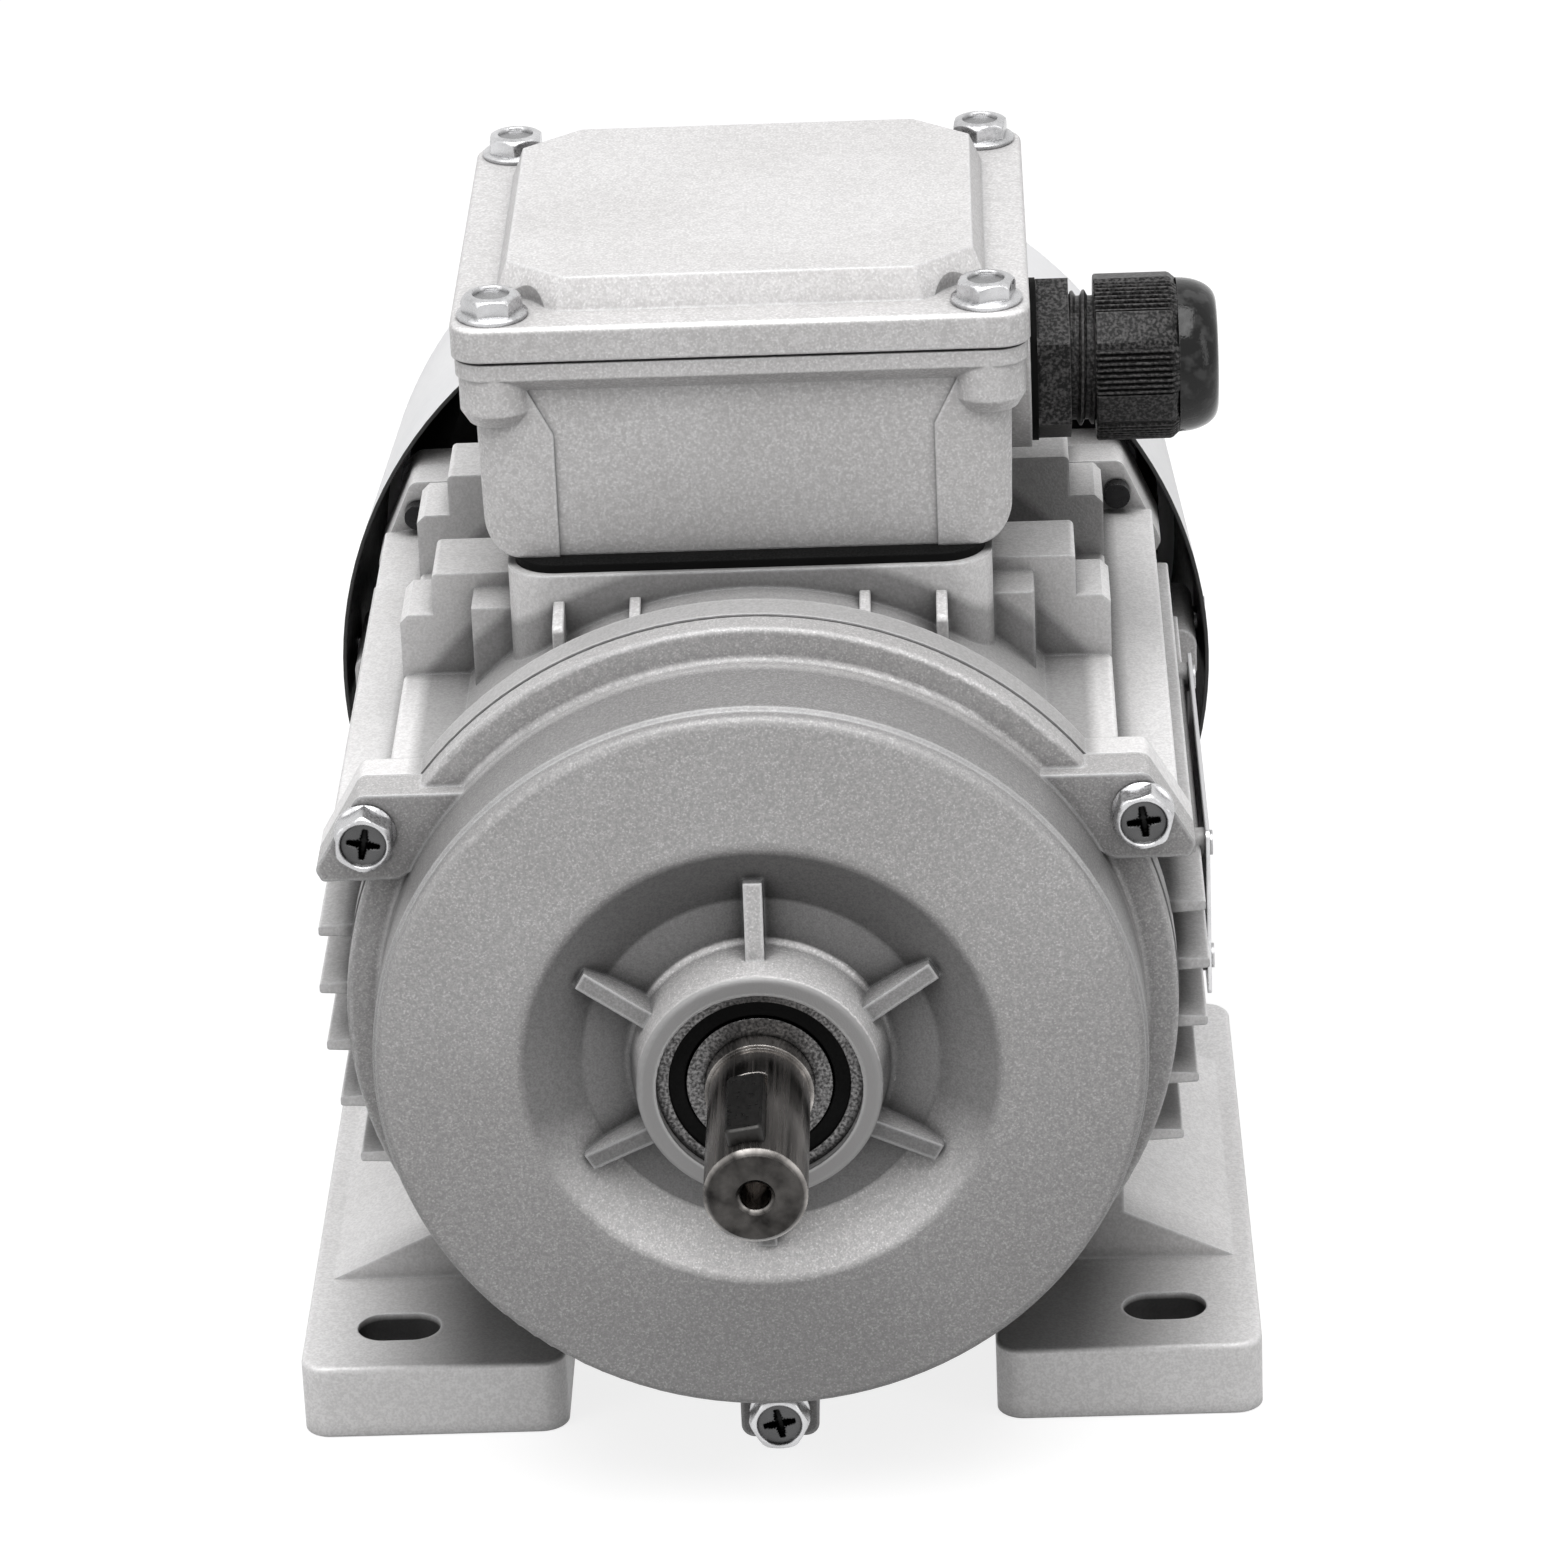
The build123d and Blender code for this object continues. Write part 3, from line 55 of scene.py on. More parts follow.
# Camera: the photograph's viewpoint, found from the standard foot, shaft and box sizes
def make_camera():
    yaw, pitch, roll = -0.0320, 0.4280, -0.0430
    ahead = Vector((math.sin(yaw) * math.cos(pitch), math.cos(yaw) * math.cos(pitch), -math.sin(pitch)))
    side = Vector((math.cos(yaw), -math.sin(yaw), 0))
    top = side.cross(ahead)
    right = math.cos(roll) * side + math.sin(roll) * top
    up = math.cos(roll) * top - math.sin(roll) * side
    data = bpy.data.cameras.new("camera")
    data.sensor_width = 36.0
    data.lens = 153.155
    data.clip_start, data.clip_end = 0.05, 20.0
    camera = bpy.data.objects.new("camera", data)
    camera.matrix_world = Matrix((
        (right.x, up.x, -ahead.x, 0.03109),
        (right.y, up.y, -ahead.y, -0.89970),
        (right.z, up.z, -ahead.z, 0.48694),
        (0, 0, 0, 1),
    ))
    bpy.context.scene.collection.objects.link(camera)
    bpy.context.scene.camera = camera


# Shader building
def is_output(value):
    return isinstance(value, tuple) and isinstance(value[0], bpy.types.Node)


def scaled(color, factor):
    return [c * factor for c in color]


class Shader:
    """A Principled material. Its helpers return outputs as (node, socket) and take them as values."""

    def __init__(self, name, color, metallic=0.0, roughness=0.5, **sockets):
        self.material = bpy.data.materials.new(name)
        self.material.use_nodes = True
        self.tree = self.material.node_tree
        self.tree.nodes.clear()
        out = self.node("ShaderNodeOutputMaterial")
        self.bsdf = self.node("ShaderNodeBsdfPrincipled")
        self.feed((self.bsdf, "BSDF"), out, "Surface")
        self.feed((*color, 1.0), self.bsdf, "Base Color")
        self.feed(metallic, self.bsdf, "Metallic")
        self.feed(roughness, self.bsdf, "Roughness")
        for key, value in sockets.items():
            self.feed(value, self.bsdf, key.replace("_", " "))
        self.material.diffuse_color = (*color, 1.0)

    def node(self, kind, **values):
        """A new node; each value goes to the socket or else the setting of that name."""
        made = self.tree.nodes.new(kind)
        for key, value in values.items():
            if key in made.inputs:
                made.inputs[key].default_value = value
            else:
                setattr(made, key, value)
        return made

    def feed(self, value, node, socket):
        """Link an output to a socket, or set the socket to a number, vector or colour."""
        if is_output(value):
            self.tree.links.new(value[0].outputs[value[1]], node.inputs[socket])
        else:
            node.inputs[socket].default_value = value

    def math(self, operation, *values):
        made = self.node("ShaderNodeMath", operation=operation)
        for i, value in enumerate(values):
            self.feed(value, made, i)
        return made, 0

    def product(self, a, b):
        return self.math("MULTIPLY", a, b)

    def less(self, a, b):
        return self.math("SUBTRACT", a, b)

    def mix(self, factor, a, b, blend="MIX"):
        """Mix two colours."""
        made = self.node("ShaderNodeMix", data_type="RGBA", blend_type=blend)
        self.feed(factor, made, 0)
        for value, socket in ((a, 6), (b, 7)):
            self.feed(value if is_output(value) else (*value, 1.0), made, socket)
        return made, 2

    def times(self, colour, by):
        """Multiply a colour by a colour or a grey output."""
        return self.mix(1.0, colour, by, "MULTIPLY")

    def span(self, source, low, high, start=0.35, end=0.65):
        """Remap an output from start..end to low..high."""
        made = self.node("ShaderNodeMapRange")
        for socket, value in (("From Min", start), ("From Max", end), ("To Min", low), ("To Max", high)):
            made.inputs[socket].default_value = value
        self.feed(source, made, "Value")
        return made, "Result"

    def place(self, scale=(1, 1, 1), shift=(0, 0, 0)):
        """Coordinates of the part's frame in metres, stretched by scale and moved by shift."""
        made = self.node("ShaderNodeMapping", Location=shift, Scale=scale)
        self.feed((self.node("ShaderNodeTexCoord"), "Object"), made, "Vector")
        return made, "Vector"

    def noise(self, size, detail=2.0, stretch=(1, 1, 1)):
        """Noise with features about size metres across."""
        made = self.node("ShaderNodeTexNoise", Scale=1.0 / size, Detail=detail)
        self.feed(self.place(stretch), made, "Vector")
        return made, "Fac"

    def split(self, vector):
        """X, Y and Z of a vector output."""
        made = self.node("ShaderNodeSeparateXYZ")
        self.feed(vector, made, "Vector")
        return (made, "X"), (made, "Y"), (made, "Z")

    def position(self):
        """X, Y and Z in the part's frame."""
        return self.split((self.node("ShaderNodeTexCoord"), "Object"))

    def facing(self):
        """X, Y and Z of the surface's direction."""
        return self.split((self.node("ShaderNodeNewGeometry"), "Normal"))

    def axis_radius(self):
        """Distance from the shaft axis."""
        x, _, z = self.position()
        rise = self.less(z, AXIS_HEIGHT)
        return self.math("SQRT", self.math("ADD", self.math("POWER", x, 2.0), self.math("POWER", rise, 2.0)))

    def crevice(self, distance, dark=0.25, low=0.30, high=0.85):
        """A grey factor of painted shade: dark in recesses narrower than about distance."""
        made = self.node("ShaderNodeAmbientOcclusion", samples=6, Distance=distance)
        return self.span((made, "AO"), dark, 1.0, low, high)

    def edge_mask(self, radius):
        """1 on sharp edges, 0 on flat faces."""
        soft = self.node("ShaderNodeBevel", samples=4, Radius=radius)
        dot = self.node("ShaderNodeVectorMath", operation="DOT_PRODUCT")
        self.feed((soft, "Normal"), dot, 0)
        self.feed((self.node("ShaderNodeNewGeometry"), "Normal"), dot, 1)
        return self.span((dot, "Value"), 1.0, 0.0, 0.80, 0.985)

    def tint(self, colour):
        self.feed(colour, self.bsdf, "Base Color")

    def shade(self, colour, factor):
        """Tint with the colour made darker by a grey factor, and its highlights with it."""
        self.feed(self.product(factor, USUAL_SPECULAR), self.bsdf, "Specular IOR Level")
        self.tint(self.mix(factor, DEEPEST, colour))

    def rough(self, source):
        self.feed(source, self.bsdf, "Roughness")

    def bump(self, layers, edge=0.0):
        """layers are (output, height in metres); edge is the radius of softened edges in metres."""
        last = None
        if edge:
            last = self.node("ShaderNodeBevel", samples=4, Radius=edge), "Normal"
        for texture, height in layers:
            made = self.node("ShaderNodeBump", Strength=1.0, Distance=height)
            self.feed(texture, made, "Height")
            if last is not None:
                self.feed(last, made, "Normal")
            last = made, "Normal"
        self.feed(last, self.bsdf, "Normal")


# Cast pieces
def shield_tone(s, tone, grains, dark, recess, hub, side):
    """Tone of the drive end shield, and the mask of its recess.

    recess, hub and side are the radii of the recess, the hub's face and the shield's side. The
    recess is smooth and dark with painted shade, darkest where it faces down, and its lower slope
    takes a painted highlight. The front face takes painted shade that darkens it downward, and the
    side takes painted shade in front of its ears.
    """
    hub_front, hub_back = -88.2 * MM, -87.9 * MM
    side_front, side_back = -68.0 * MM, -66.5 * MM
    face_bottom, face_top = 30.0 * MM, 100.0 * MM
    _, y, z = s.position()
    _, _, up = s.facing()
    radius = s.axis_radius()
    # Painted shade: the recess takes a darker, less grainy tone, darker still where it faces down
    smooth = s.mix(s.span(grains, 0.0, 1.0), scaled(dark, 0.50), scaled(dark, 0.70))
    painted_downward_shade = s.times(smooth, s.span(up, 0.50, 1.0, -0.36, 0.0))
    # Painted highlight on the recess's upward slope
    painted_slope_light = s.times(tone, (1.9, 1.9, 1.9))
    sloped = s.mix(s.span(up, 0.0, 1.0, 0.08, 0.32), painted_downward_shade, painted_slope_light)
    # Painted shade: the front face darkens toward the bottom
    face = s.times(tone, s.span(z, 0.66, 1.04, face_bottom, face_top))
    inside = s.span(radius, 1.0, 0.0, recess - 0.6 * MM, recess + 0.6 * MM)
    tone = s.mix(inside, face, sloped)
    tip = s.product(s.span(radius, 1.0, 0.0, hub, hub + 0.1 * MM), s.span(y, 1.0, 0.0, hub_front, hub_back))
    tone = s.mix(tip, tone, scaled(dark, 0.85))
    # Painted shade on the shield's side, in front of its ears
    painted_side_shade = s.product(s.span(radius, 0.0, 0.44, side - 1.6 * MM, side - 0.2 * MM),
                       s.span(y, 1.0, 0.0, side_front, side_back))
    return s.times(tone, s.less(1.0, painted_side_shade)), inside


def bevel_painted_light(s, tone):
    """Painted light: brighter where the surface leans forward and up, as the bevel of the lid's panel does.
    """
    brighter = 1.32
    _, y, z = s.facing()
    forward = s.product(s.span(y, 0.0, 1.0, -0.30, -0.45), s.span(z, 0.0, 1.0, 0.30, 0.45))
    return s.mix(forward, tone, s.times(tone, (brighter, brighter, brighter)))


def foot_painted_shade(s, tone):
    """Painted shade on the top of a foot: a shadow below the shield, and dark in the slots for the fixing
    screws.
    """
    slot_centre_x, slot_centre_y = 56.0 * MM, 45.0 * MM
    slot_half_length, slot_half_width = 6.3 * MM, 4.2 * MM
    shade_inner, shade_outer = 43.0 * MM, 68.0 * MM
    shade_full, shade_gone = -33.0 * MM, -22.0 * MM
    x, y, z = s.position()
    across, along = s.math("ABSOLUTE", x), s.math("ABSOLUTE", y)
    # Painted shadow of the shield on the foot's top
    under = s.product(s.span(across, 0.72, 0.0, shade_inner, shade_outer),
                      s.span(y, 1.0, 0.0, shade_full, shade_gone))
    under = s.product(under, s.span(z, 0.0, 1.0, 10.6 * MM, 11.2 * MM))
    # Painted shade inside the slots
    past_x = s.less(s.math("ABSOLUTE", s.less(across, slot_centre_x)), slot_half_length)
    past_y = s.less(s.math("ABSOLUTE", s.less(along, slot_centre_y)), slot_half_width)
    slot = s.math("LESS_THAN", s.math("MAXIMUM", past_x, past_y), 0.0)
    slot = s.product(slot, s.span(z, 0.93, 0.0, 10.2 * MM, 11.2 * MM))
    return s.times(tone, s.less(1.0, s.math("MAXIMUM", under, slot)))


def cast_aluminium(name, light, dark, grain=0.00036, glint=0.35, deep=0.70,
                   dish=None, tube=None, foot=False, bevel=False):
    """Silvery die-cast aluminium: fine grain with painted glints, faint blotches and light edges, partly
    worn and partly a painted highlight.

    grain is the size of a grain, glint the strength of its painted glints and deep the grey of the
    painted shade in wide hollows. dish is for the shield: the radii that shield_tone takes. tube is the
    radius of the frame's tube, which takes painted shade next to what stands on it. foot and bevel add
    the painted shade on top of a foot and the painted light on the bevel of the lid.
    """
    s = Shader(name, light, metallic=0.15, roughness=0.42)
    fine = s.noise(grain, detail=1.0)
    coarse = s.noise(grain * 2.6, detail=1.0)
    blotch = s.noise(0.022, detail=3.0)
    grains = s.math("ADD", s.product(fine, 0.62), s.product(coarse, 0.38))
    speck = s.mix(s.span(grains, 0.0, 1.0, 0.40, 0.60), dark, light)
    # The brightest points of the grain are painted glints
    lit = s.mix(s.span(fine, 0.0, glint, 0.63, 0.70), speck, (0.95, 0.95, 0.95))
    stain = s.mix(s.span(blotch, 0.0, 0.5, 0.40, 0.62), (1, 1, 1), (0.88, 0.875, 0.87))
    tone = s.times(lit, stain)
    wear_and_highlight = 0.50
    if dish is not None:
        tone, inside = shield_tone(s, tone, grains, dark, *dish)
        wear_and_highlight = 0.75
    if tube is not None:
        # Painted shade on the frame's tube, below what stands on it
        tone = s.times(tone, s.span(s.axis_radius(), 0.52, 1.0, tube, tube + 1.5 * MM))
    if bevel:
        tone = bevel_painted_light(s, tone)
    if foot:
        tone = foot_painted_shade(s, tone)
    # Light edges: partly worn, partly a painted highlight on the rounded edges
    bright = s.mix(s.product(s.edge_mask(0.0010), wear_and_highlight), tone, (0.90, 0.90, 0.91))
    # Painted shade: darker in narrow crevices and in wide hollows
    near = s.crevice(0.0035, dark=0.5)
    far = s.crevice(0.030, dark=deep, low=0.35, high=0.92)
    if dish is not None:
        # Outside the recess the painted shade of wide hollows counts for less
        weight = s.math("ADD", 0.30, s.product(inside, 0.70))
        far = s.less(1.0, s.product(weight, s.less(1.0, far)))
    s.shade(bright, s.product(near, far))
    s.rough(s.span(fine, 0.52, 0.36, 0.35, 0.68))
    s.bump([(coarse, 0.00003), (fine, 0.000035)], edge=0.0005)
    return s.material


# Steel, plastic, paint and windings
def machined(name, color, roughness, stretch=(1, 1, 1), ring_height=0.000008, tip_y=None, streak=None,
             shaded_by=None):
    """Turned, drawn or ground metal with fine tool marks across the long direction of stretch.

    streak is the darkest and brightest share of the colour in long streaks, which stand in for the
    usual clouds; where they are strong, as on the shaft, they are a painted sheen of reflections.
    tip_y is the Y of an end face darkened with painted shade, and shaded_by a colour attribute of the
    mesh that holds painted shade.
    """
    s = Shader(name, color, metallic=1.0, roughness=roughness)
    marks = s.noise(0.0006, detail=3.0, stretch=stretch)
    if streak is None:
        cloud, low, high = s.noise(0.006, detail=3.0), 0.80, 1.08
    else:
        cloud, (low, high) = s.noise(0.0035, detail=3.0, stretch=stretch), streak
    tone = s.mix(s.span(cloud, 0.0, 1.0), scaled(color, low), scaled(color, high))
    tone = s.mix(s.span(marks, 0.0, 0.25, 0.45, 0.75), tone, scaled(color, 1.35))
    # The colour attribute holds painted shade
    if shaded_by is not None:
        tone = s.times(tone, (s.node("ShaderNodeVertexColor", layer_name=shaded_by), "Color"))
    # Painted shade on the end face at tip_y
    if tip_y is not None:
        _, y, _ = s.position()
        tone = s.times(tone, s.span(y, 0.11, 1.0, tip_y + 0.2 * MM, tip_y + 1.2 * MM))
    # Painted shade in narrow crevices
    s.shade(tone, s.crevice(0.0015, dark=0.04, low=0.35, high=0.80))
    s.rough(s.span(marks, roughness * 0.75, roughness * 1.35))
    s.bump([(marks, ring_height)], edge=0.0003)
    return s.material


def grainy_steel(name, dark, light):
    """Ground steel with fine bright specks."""
    s = Shader(name, light, metallic=1.0, roughness=0.32)
    specks = s.noise(0.00045)
    tone = s.mix(s.span(specks, 0.0, 1.0, 0.38, 0.66), dark, light)
    # Painted shade in narrow crevices
    s.shade(tone, s.crevice(0.0015, dark=0.03, low=0.40, high=0.85))
    s.rough(s.span(specks, 0.40, 0.26))
    s.bump([(specks, 0.00002)], edge=0.0002)
    return s.material


def plastic(name, color, roughness, **sockets):
    """Moulded plastic or rubber with a faint cloud and a fine grain."""
    s = Shader(name, color, roughness=roughness, **sockets)
    fine = s.noise(0.0003)
    cloud = s.noise(0.008)
    s.tint(s.mix(s.span(cloud, 0.0, 1.0), scaled(color, 0.8), scaled(color, 1.25)))
    s.rough(s.span(fine, roughness * 0.85, roughness * 1.2))
    s.bump([(fine, 0.00001)], edge=0.0003)
    return s.material


def cover_paint():
    """Fan cover: pale paint outside and black inside, told apart by the distance from the axis.

    The line between them runs in the middle of the sheet: a cone, a round corner and the rear wall.
    """
    mouth_y, mouth_radius, taper = 0.055, 0.0673, -0.05246
    corner_y, corner_middle, corner_radius = 0.107, 0.0554, 0.0087
    wall_y = 0.1156
    rim_y = 0.0552
    s = Shader("cover_paint", (0.80, 0.80, 0.81), roughness=0.36)
    _, y, _ = s.position()
    radius = s.axis_radius()
    skin = s.math("ADD", s.product(s.less(y, mouth_y), taper), mouth_radius)
    back = s.less(y, corner_y)
    shell = s.product(s.math("GREATER_THAN", radius, skin), s.math("LESS_THAN", back, 0.0))
    out = s.math("MAXIMUM", s.less(radius, corner_middle), 0.0)
    reach = s.math("SQRT", s.math("ADD", s.math("POWER", back, 2.0), s.math("POWER", out, 2.0)))
    corner = s.product(s.math("GREATER_THAN", reach, corner_radius), s.math("GREATER_THAN", back, 0.0))
    wall = s.math("GREATER_THAN", y, wall_y)
    outside = s.math("MAXIMUM", s.math("MAXIMUM", shell, wall), corner)
    outside = s.product(outside, s.math("GREATER_THAN", y, rim_y))
    peel = s.noise(0.0011)
    cloud = s.noise(0.03)
    pale = s.mix(s.span(cloud, 0.0, 1.0), (0.78, 0.78, 0.795), (0.83, 0.83, 0.84))
    s.tint(s.mix(outside, (0.012, 0.012, 0.012), pale))
    s.rough(s.span(peel, 0.30, 0.42))
    s.bump([(peel, 0.000012)], edge=0.0003)
    return s.material


def core_sheets():
    """Stacked electrical sheet: fine dark lines between the sheets."""
    s = Shader("core_steel", (0.33, 0.33, 0.35), metallic=0.8, roughness=0.45)
    wave = s.node("ShaderNodeTexWave", wave_type="BANDS", bands_direction="Y", Scale=300.0, Distortion=0.0)
    s.feed(s.place(), wave, "Vector")
    sheets = wave, "Fac"
    rust = s.noise(0.004, detail=3.0)
    base = s.mix(s.span(rust, 0.0, 1.0), (0.26, 0.25, 0.25), (0.36, 0.36, 0.38))
    s.tint(s.mix(s.span(sheets, 0.0, 1.0, 0.05, 0.5), (0.09, 0.09, 0.10), base))
    s.rough(s.span(rust, 0.38, 0.55))
    s.bump([(sheets, 0.00006)])
    return s.material


def bound_winding():
    """Varnished copper wire, wound round the axis and bound."""
    s = Shader("winding", (0.55, 0.24, 0.10), metallic=0.35, roughness=0.3)
    wave = s.node("ShaderNodeTexWave", wave_type="RINGS", rings_direction="Y", Scale=190.0, Distortion=3.0,
                  Detail=1.0)
    s.feed(s.place(shift=(0, 0, -AXIS_HEIGHT)), wave, "Vector")
    wires = wave, "Fac"
    s.tint(s.mix(s.span(wires, 0.0, 1.0, 0.1, 0.8), (0.16, 0.05, 0.02), (0.62, 0.27, 0.11)))
    s.rough(s.span(wires, 0.45, 0.25))
    s.bump([(wires, 0.0003)])
    return s.material


def ribbed_nylon():
    """Black nylon of the gland: mottled on the ribbed grip, glossy on the dome."""
    s = Shader("gland_nylon", (0.020, 0.020, 0.021), roughness=0.3)
    x, _, _ = s.position()
    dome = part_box("gland_nut")[1][0] - GLAND_DOME_LENGTH
    on_dome = s.span(x, 0.0, 1.0, dome - 0.3 * MM, dome + 0.2 * MM)
    fine = s.noise(0.00045)
    mottle = s.mix(s.span(fine, 0.0, 1.0, 0.42, 0.66), (0.006, 0.006, 0.006), (0.30, 0.29, 0.29))
    # Light edges on the grip: partly worn, partly a painted highlight
    grip = s.mix(s.product(s.edge_mask(0.0003), 0.6), mottle, (0.42, 0.41, 0.41))
    spots = s.noise(0.0022)
    worn = s.mix(s.span(spots, 0.0, 1.0, 0.50, 0.66), (0.003, 0.003, 0.003), (0.060, 0.060, 0.060))
    level = s.math("ADD", 0.28, s.product(on_dome, 0.30))
    # Painted shade in narrow hollows
    hollow = s.crevice(0.0008, dark=0.1, low=0.45, high=0.85)
    s.shade(s.mix(on_dome, grip, worn), s.product(level, hollow))
    s.rough(s.less(0.36, s.product(on_dome, 0.24)))
    s.bump([(fine, 0.00003)])
    return s.material


def paint_slots():
    """Give every CAD node its procedural material; returns the materials of the slots."""
    made = {
        "cast_aluminium": cast_aluminium("cast_aluminium", (0.69, 0.68, 0.68), (0.56, 0.55, 0.55)),
        "cage_aluminium": cast_aluminium("cage_aluminium", (0.68, 0.68, 0.69), (0.50, 0.50, 0.51)),
        "black_steel": machined("black_steel", (0.030, 0.030, 0.031), 0.30),
        "zinc_steel": machined("zinc_steel", (0.56, 0.56, 0.57), 0.30),
        "plate_metal": machined("plate_metal", (0.70, 0.70, 0.71), 0.33, (1, 0.05, 1), streak=(0.93, 1.04)),
        "brass": machined("brass", (0.72, 0.56, 0.27), 0.28),
        "bearing_steel": grainy_steel("bearing_steel", (0.050, 0.049, 0.049), (0.20, 0.196, 0.196)),
        # The shaft's strong streaks are a painted sheen of reflections; its tip face takes painted shade
        "shaft_steel": machined("shaft_steel", (0.340, 0.322, 0.308), 0.22, (1, 0.02, 1),
                                ring_height=0.000002, tip_y=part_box("shaft")[0][1], streak=(0.45, 1.9)),
        "rubber": plastic("rubber", (0.004, 0.004, 0.004), 0.60, Specular_IOR_Level=0.06),
        "gland_nylon": ribbed_nylon(),
        "fan_plastic": plastic("fan_plastic", (0.025, 0.025, 0.027), 0.45),
        "block_moulding": plastic("block_moulding", (0.05, 0.045, 0.042), 0.40),
        "core_steel": core_sheets(),
        "winding": bound_winding(),
        "cover_paint": cover_paint(),
    }
    # The frame and the feet take a lighter copy of the casting's tone, as painted light
    bright, mid = (0.89, 0.88, 0.88), (0.76, 0.75, 0.75)
    own = {
        "drive_end_shield": cast_aluminium("shield_casting", (0.50, 0.49, 0.49), (0.385, 0.38, 0.38),
                                           grain=0.00028, glint=0.30, deep=0.30,
                                           dish=(33.0 * MM, 16.9 * MM, 53.5 * MM)),
        "terminal_box_lid": cast_aluminium("lid_casting", (0.68, 0.67, 0.67), (0.55, 0.54, 0.54), bevel=True),
        "foot_left": cast_aluminium("foot_left_casting", bright, mid, deep=0.95, foot=True),
        "foot_right": cast_aluminium("foot_right_casting", bright, mid, deep=0.95, foot=True),
        "stator_frame": cast_aluminium("stator_frame_casting", bright, mid, deep=0.45, tube=58.6 * MM),
        "shaft_key": machined("key_steel", (0.042, 0.041, 0.040), 0.36),
    }
    slot_of = {row["node"]: row["material_slot"] for row in frame["record"]["subparts"]}
    for name, node in nodes.items():
        for slot in node.material_slots:
            slot.link = "OBJECT"
            slot.material = own.get(name) or made[slot_of[name]]
    return made


# Pieces with more detail than their CAD nodes
def mesh_piece(name, verts, faces, material, angle=35):
    """A smooth piece of the housing, with sharp edges where faces meet at more than angle degrees."""
    data = bpy.data.meshes.new(name)
    data.from_pydata([tuple(v) for v in verts], [], faces)
    data.materials.append(material)
    made = bpy.data.objects.new(name, data)
    bpy.context.scene.collection.objects.link(made)
    build = bmesh.new()
    build.from_mesh(data)
    bmesh.ops.recalc_face_normals(build, faces=build.faces)
    build.to_mesh(data)
    build.free()
    for face in data.polygons:
        face.use_smooth = True
    data.set_sharp_from_angle(angle=math.radians(angle))
    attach(made, "housing")
    return made


def around_x(name, centre, profile, spokes, material):
    """Closed body round an axis along X from a closed profile of (x, radius at an angle)."""
    verts = []
    for angle in spokes:
        for x, reach in profile:
            r = reach(angle)
            verts.append((x, centre[1] - r * math.cos(angle), centre[2] + r * math.sin(angle)))
    count, turns = len(profile), len(spokes)
    faces = []
    for i in range(turns):
        here, there = i * count, (i + 1) % turns * count
        for k in range(count):
            after = (k + 1) % count
            faces.append((here + k, here + after, there + after, there + k))
    return mesh_piece(name, verts, faces, material)


def middle(node):
    low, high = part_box(node)
    return [(a + b) / 2 for a, b in zip(low, high)]


def gland_cap(material):
    """Dome nut of the gland: six ribbed bands, six plain flats, a chamfer and a smooth dome."""
    low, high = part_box("gland_nut")
    start, end = low[0], high[0]
    grip = end - GLAND_DOME_LENGTH
    outer, dome, dome_end = 12.0 * MM, 11.1 * MM, 7.3 * MM
    bore, mouth, mouth_floor = 8.9 * MM, 6.8 * MM, grip - 3.0 * MM
    bands, period, ribbed, first = 6, math.radians(60), math.radians(33), math.radians(9)
    grooves, groove_depth, groove_end_depth = 8, 0.5 * MM, 0.4 * MM
    band_steps, flat_steps, dome_steps = 64, 6, 12

    def grip_radius(trim, depth):
        """Radius at an angle: grooved on a band, and a flat between two bands."""
        def reach(angle):
            away = (angle - first + period / 2) % period - period / 2
            if abs(away) < ribbed / 2:
                wave = 0.5 - 0.5 * math.cos((away / ribbed + 0.5) * grooves * 2 * math.pi)
                return outer - trim - depth * (1 - wave) ** 1.5
            flat = period / 2 - abs(away)
            return (outer - trim * 1.3) * math.cos((period - ribbed) / 2) / math.cos(flat) + 0.12 * MM
        return reach

    def plain(radius):
        return lambda angle: radius

    profile = [
        (start, grip_radius(0.25 * MM, groove_depth)),
        (start + 0.25 * MM, grip_radius(0, groove_depth)),
        (grip - 1.3 * MM, grip_radius(0, groove_depth)),
        (grip - 0.9 * MM, grip_radius(0.15 * MM, groove_end_depth)),
        (grip, grip_radius(0.95 * MM, 0.0)),
        (grip + 0.02 * MM, plain(dome)),
    ]
    for i in range(1, dome_steps + 1):
        turn = math.pi / 2 * i / dome_steps
        bulge = math.cos(turn) ** 0.85 if i < dome_steps else 0.0
        profile.append((grip + (end - grip) * math.sin(turn), plain(dome_end + (dome - dome_end) * bulge)))
    profile += [(end - 0.15 * MM, plain(mouth)), (mouth_floor, plain(mouth)),
                (mouth_floor, plain(bore)), (start, plain(bore))]
    spokes = []
    for band in range(bands):
        base = first + band * period
        spokes += [base - ribbed / 2 + ribbed * k / band_steps for k in range(band_steps + 1)]
        spokes += [base + ribbed / 2 + (period - ribbed) * k / flat_steps for k in range(1, flat_steps)]
    cap = around_x("gland_cap", middle("gland_nut"), profile, spokes, material)
    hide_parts("gland_nut")


def in_cross(radius, angle):
    """Says if a point of a screw's dish is in the cross for the driver."""
    arm_length, root_half, narrowing = 2.2 * MM, 0.60 * MM, 0.14
    for arm in range(4):
        away = angle - arm * math.pi / 2
        u, v = radius * math.cos(away), radius * math.sin(away)
        if 0 <= u < arm_length and abs(v) < root_half - narrowing * u:
            return True
    return False


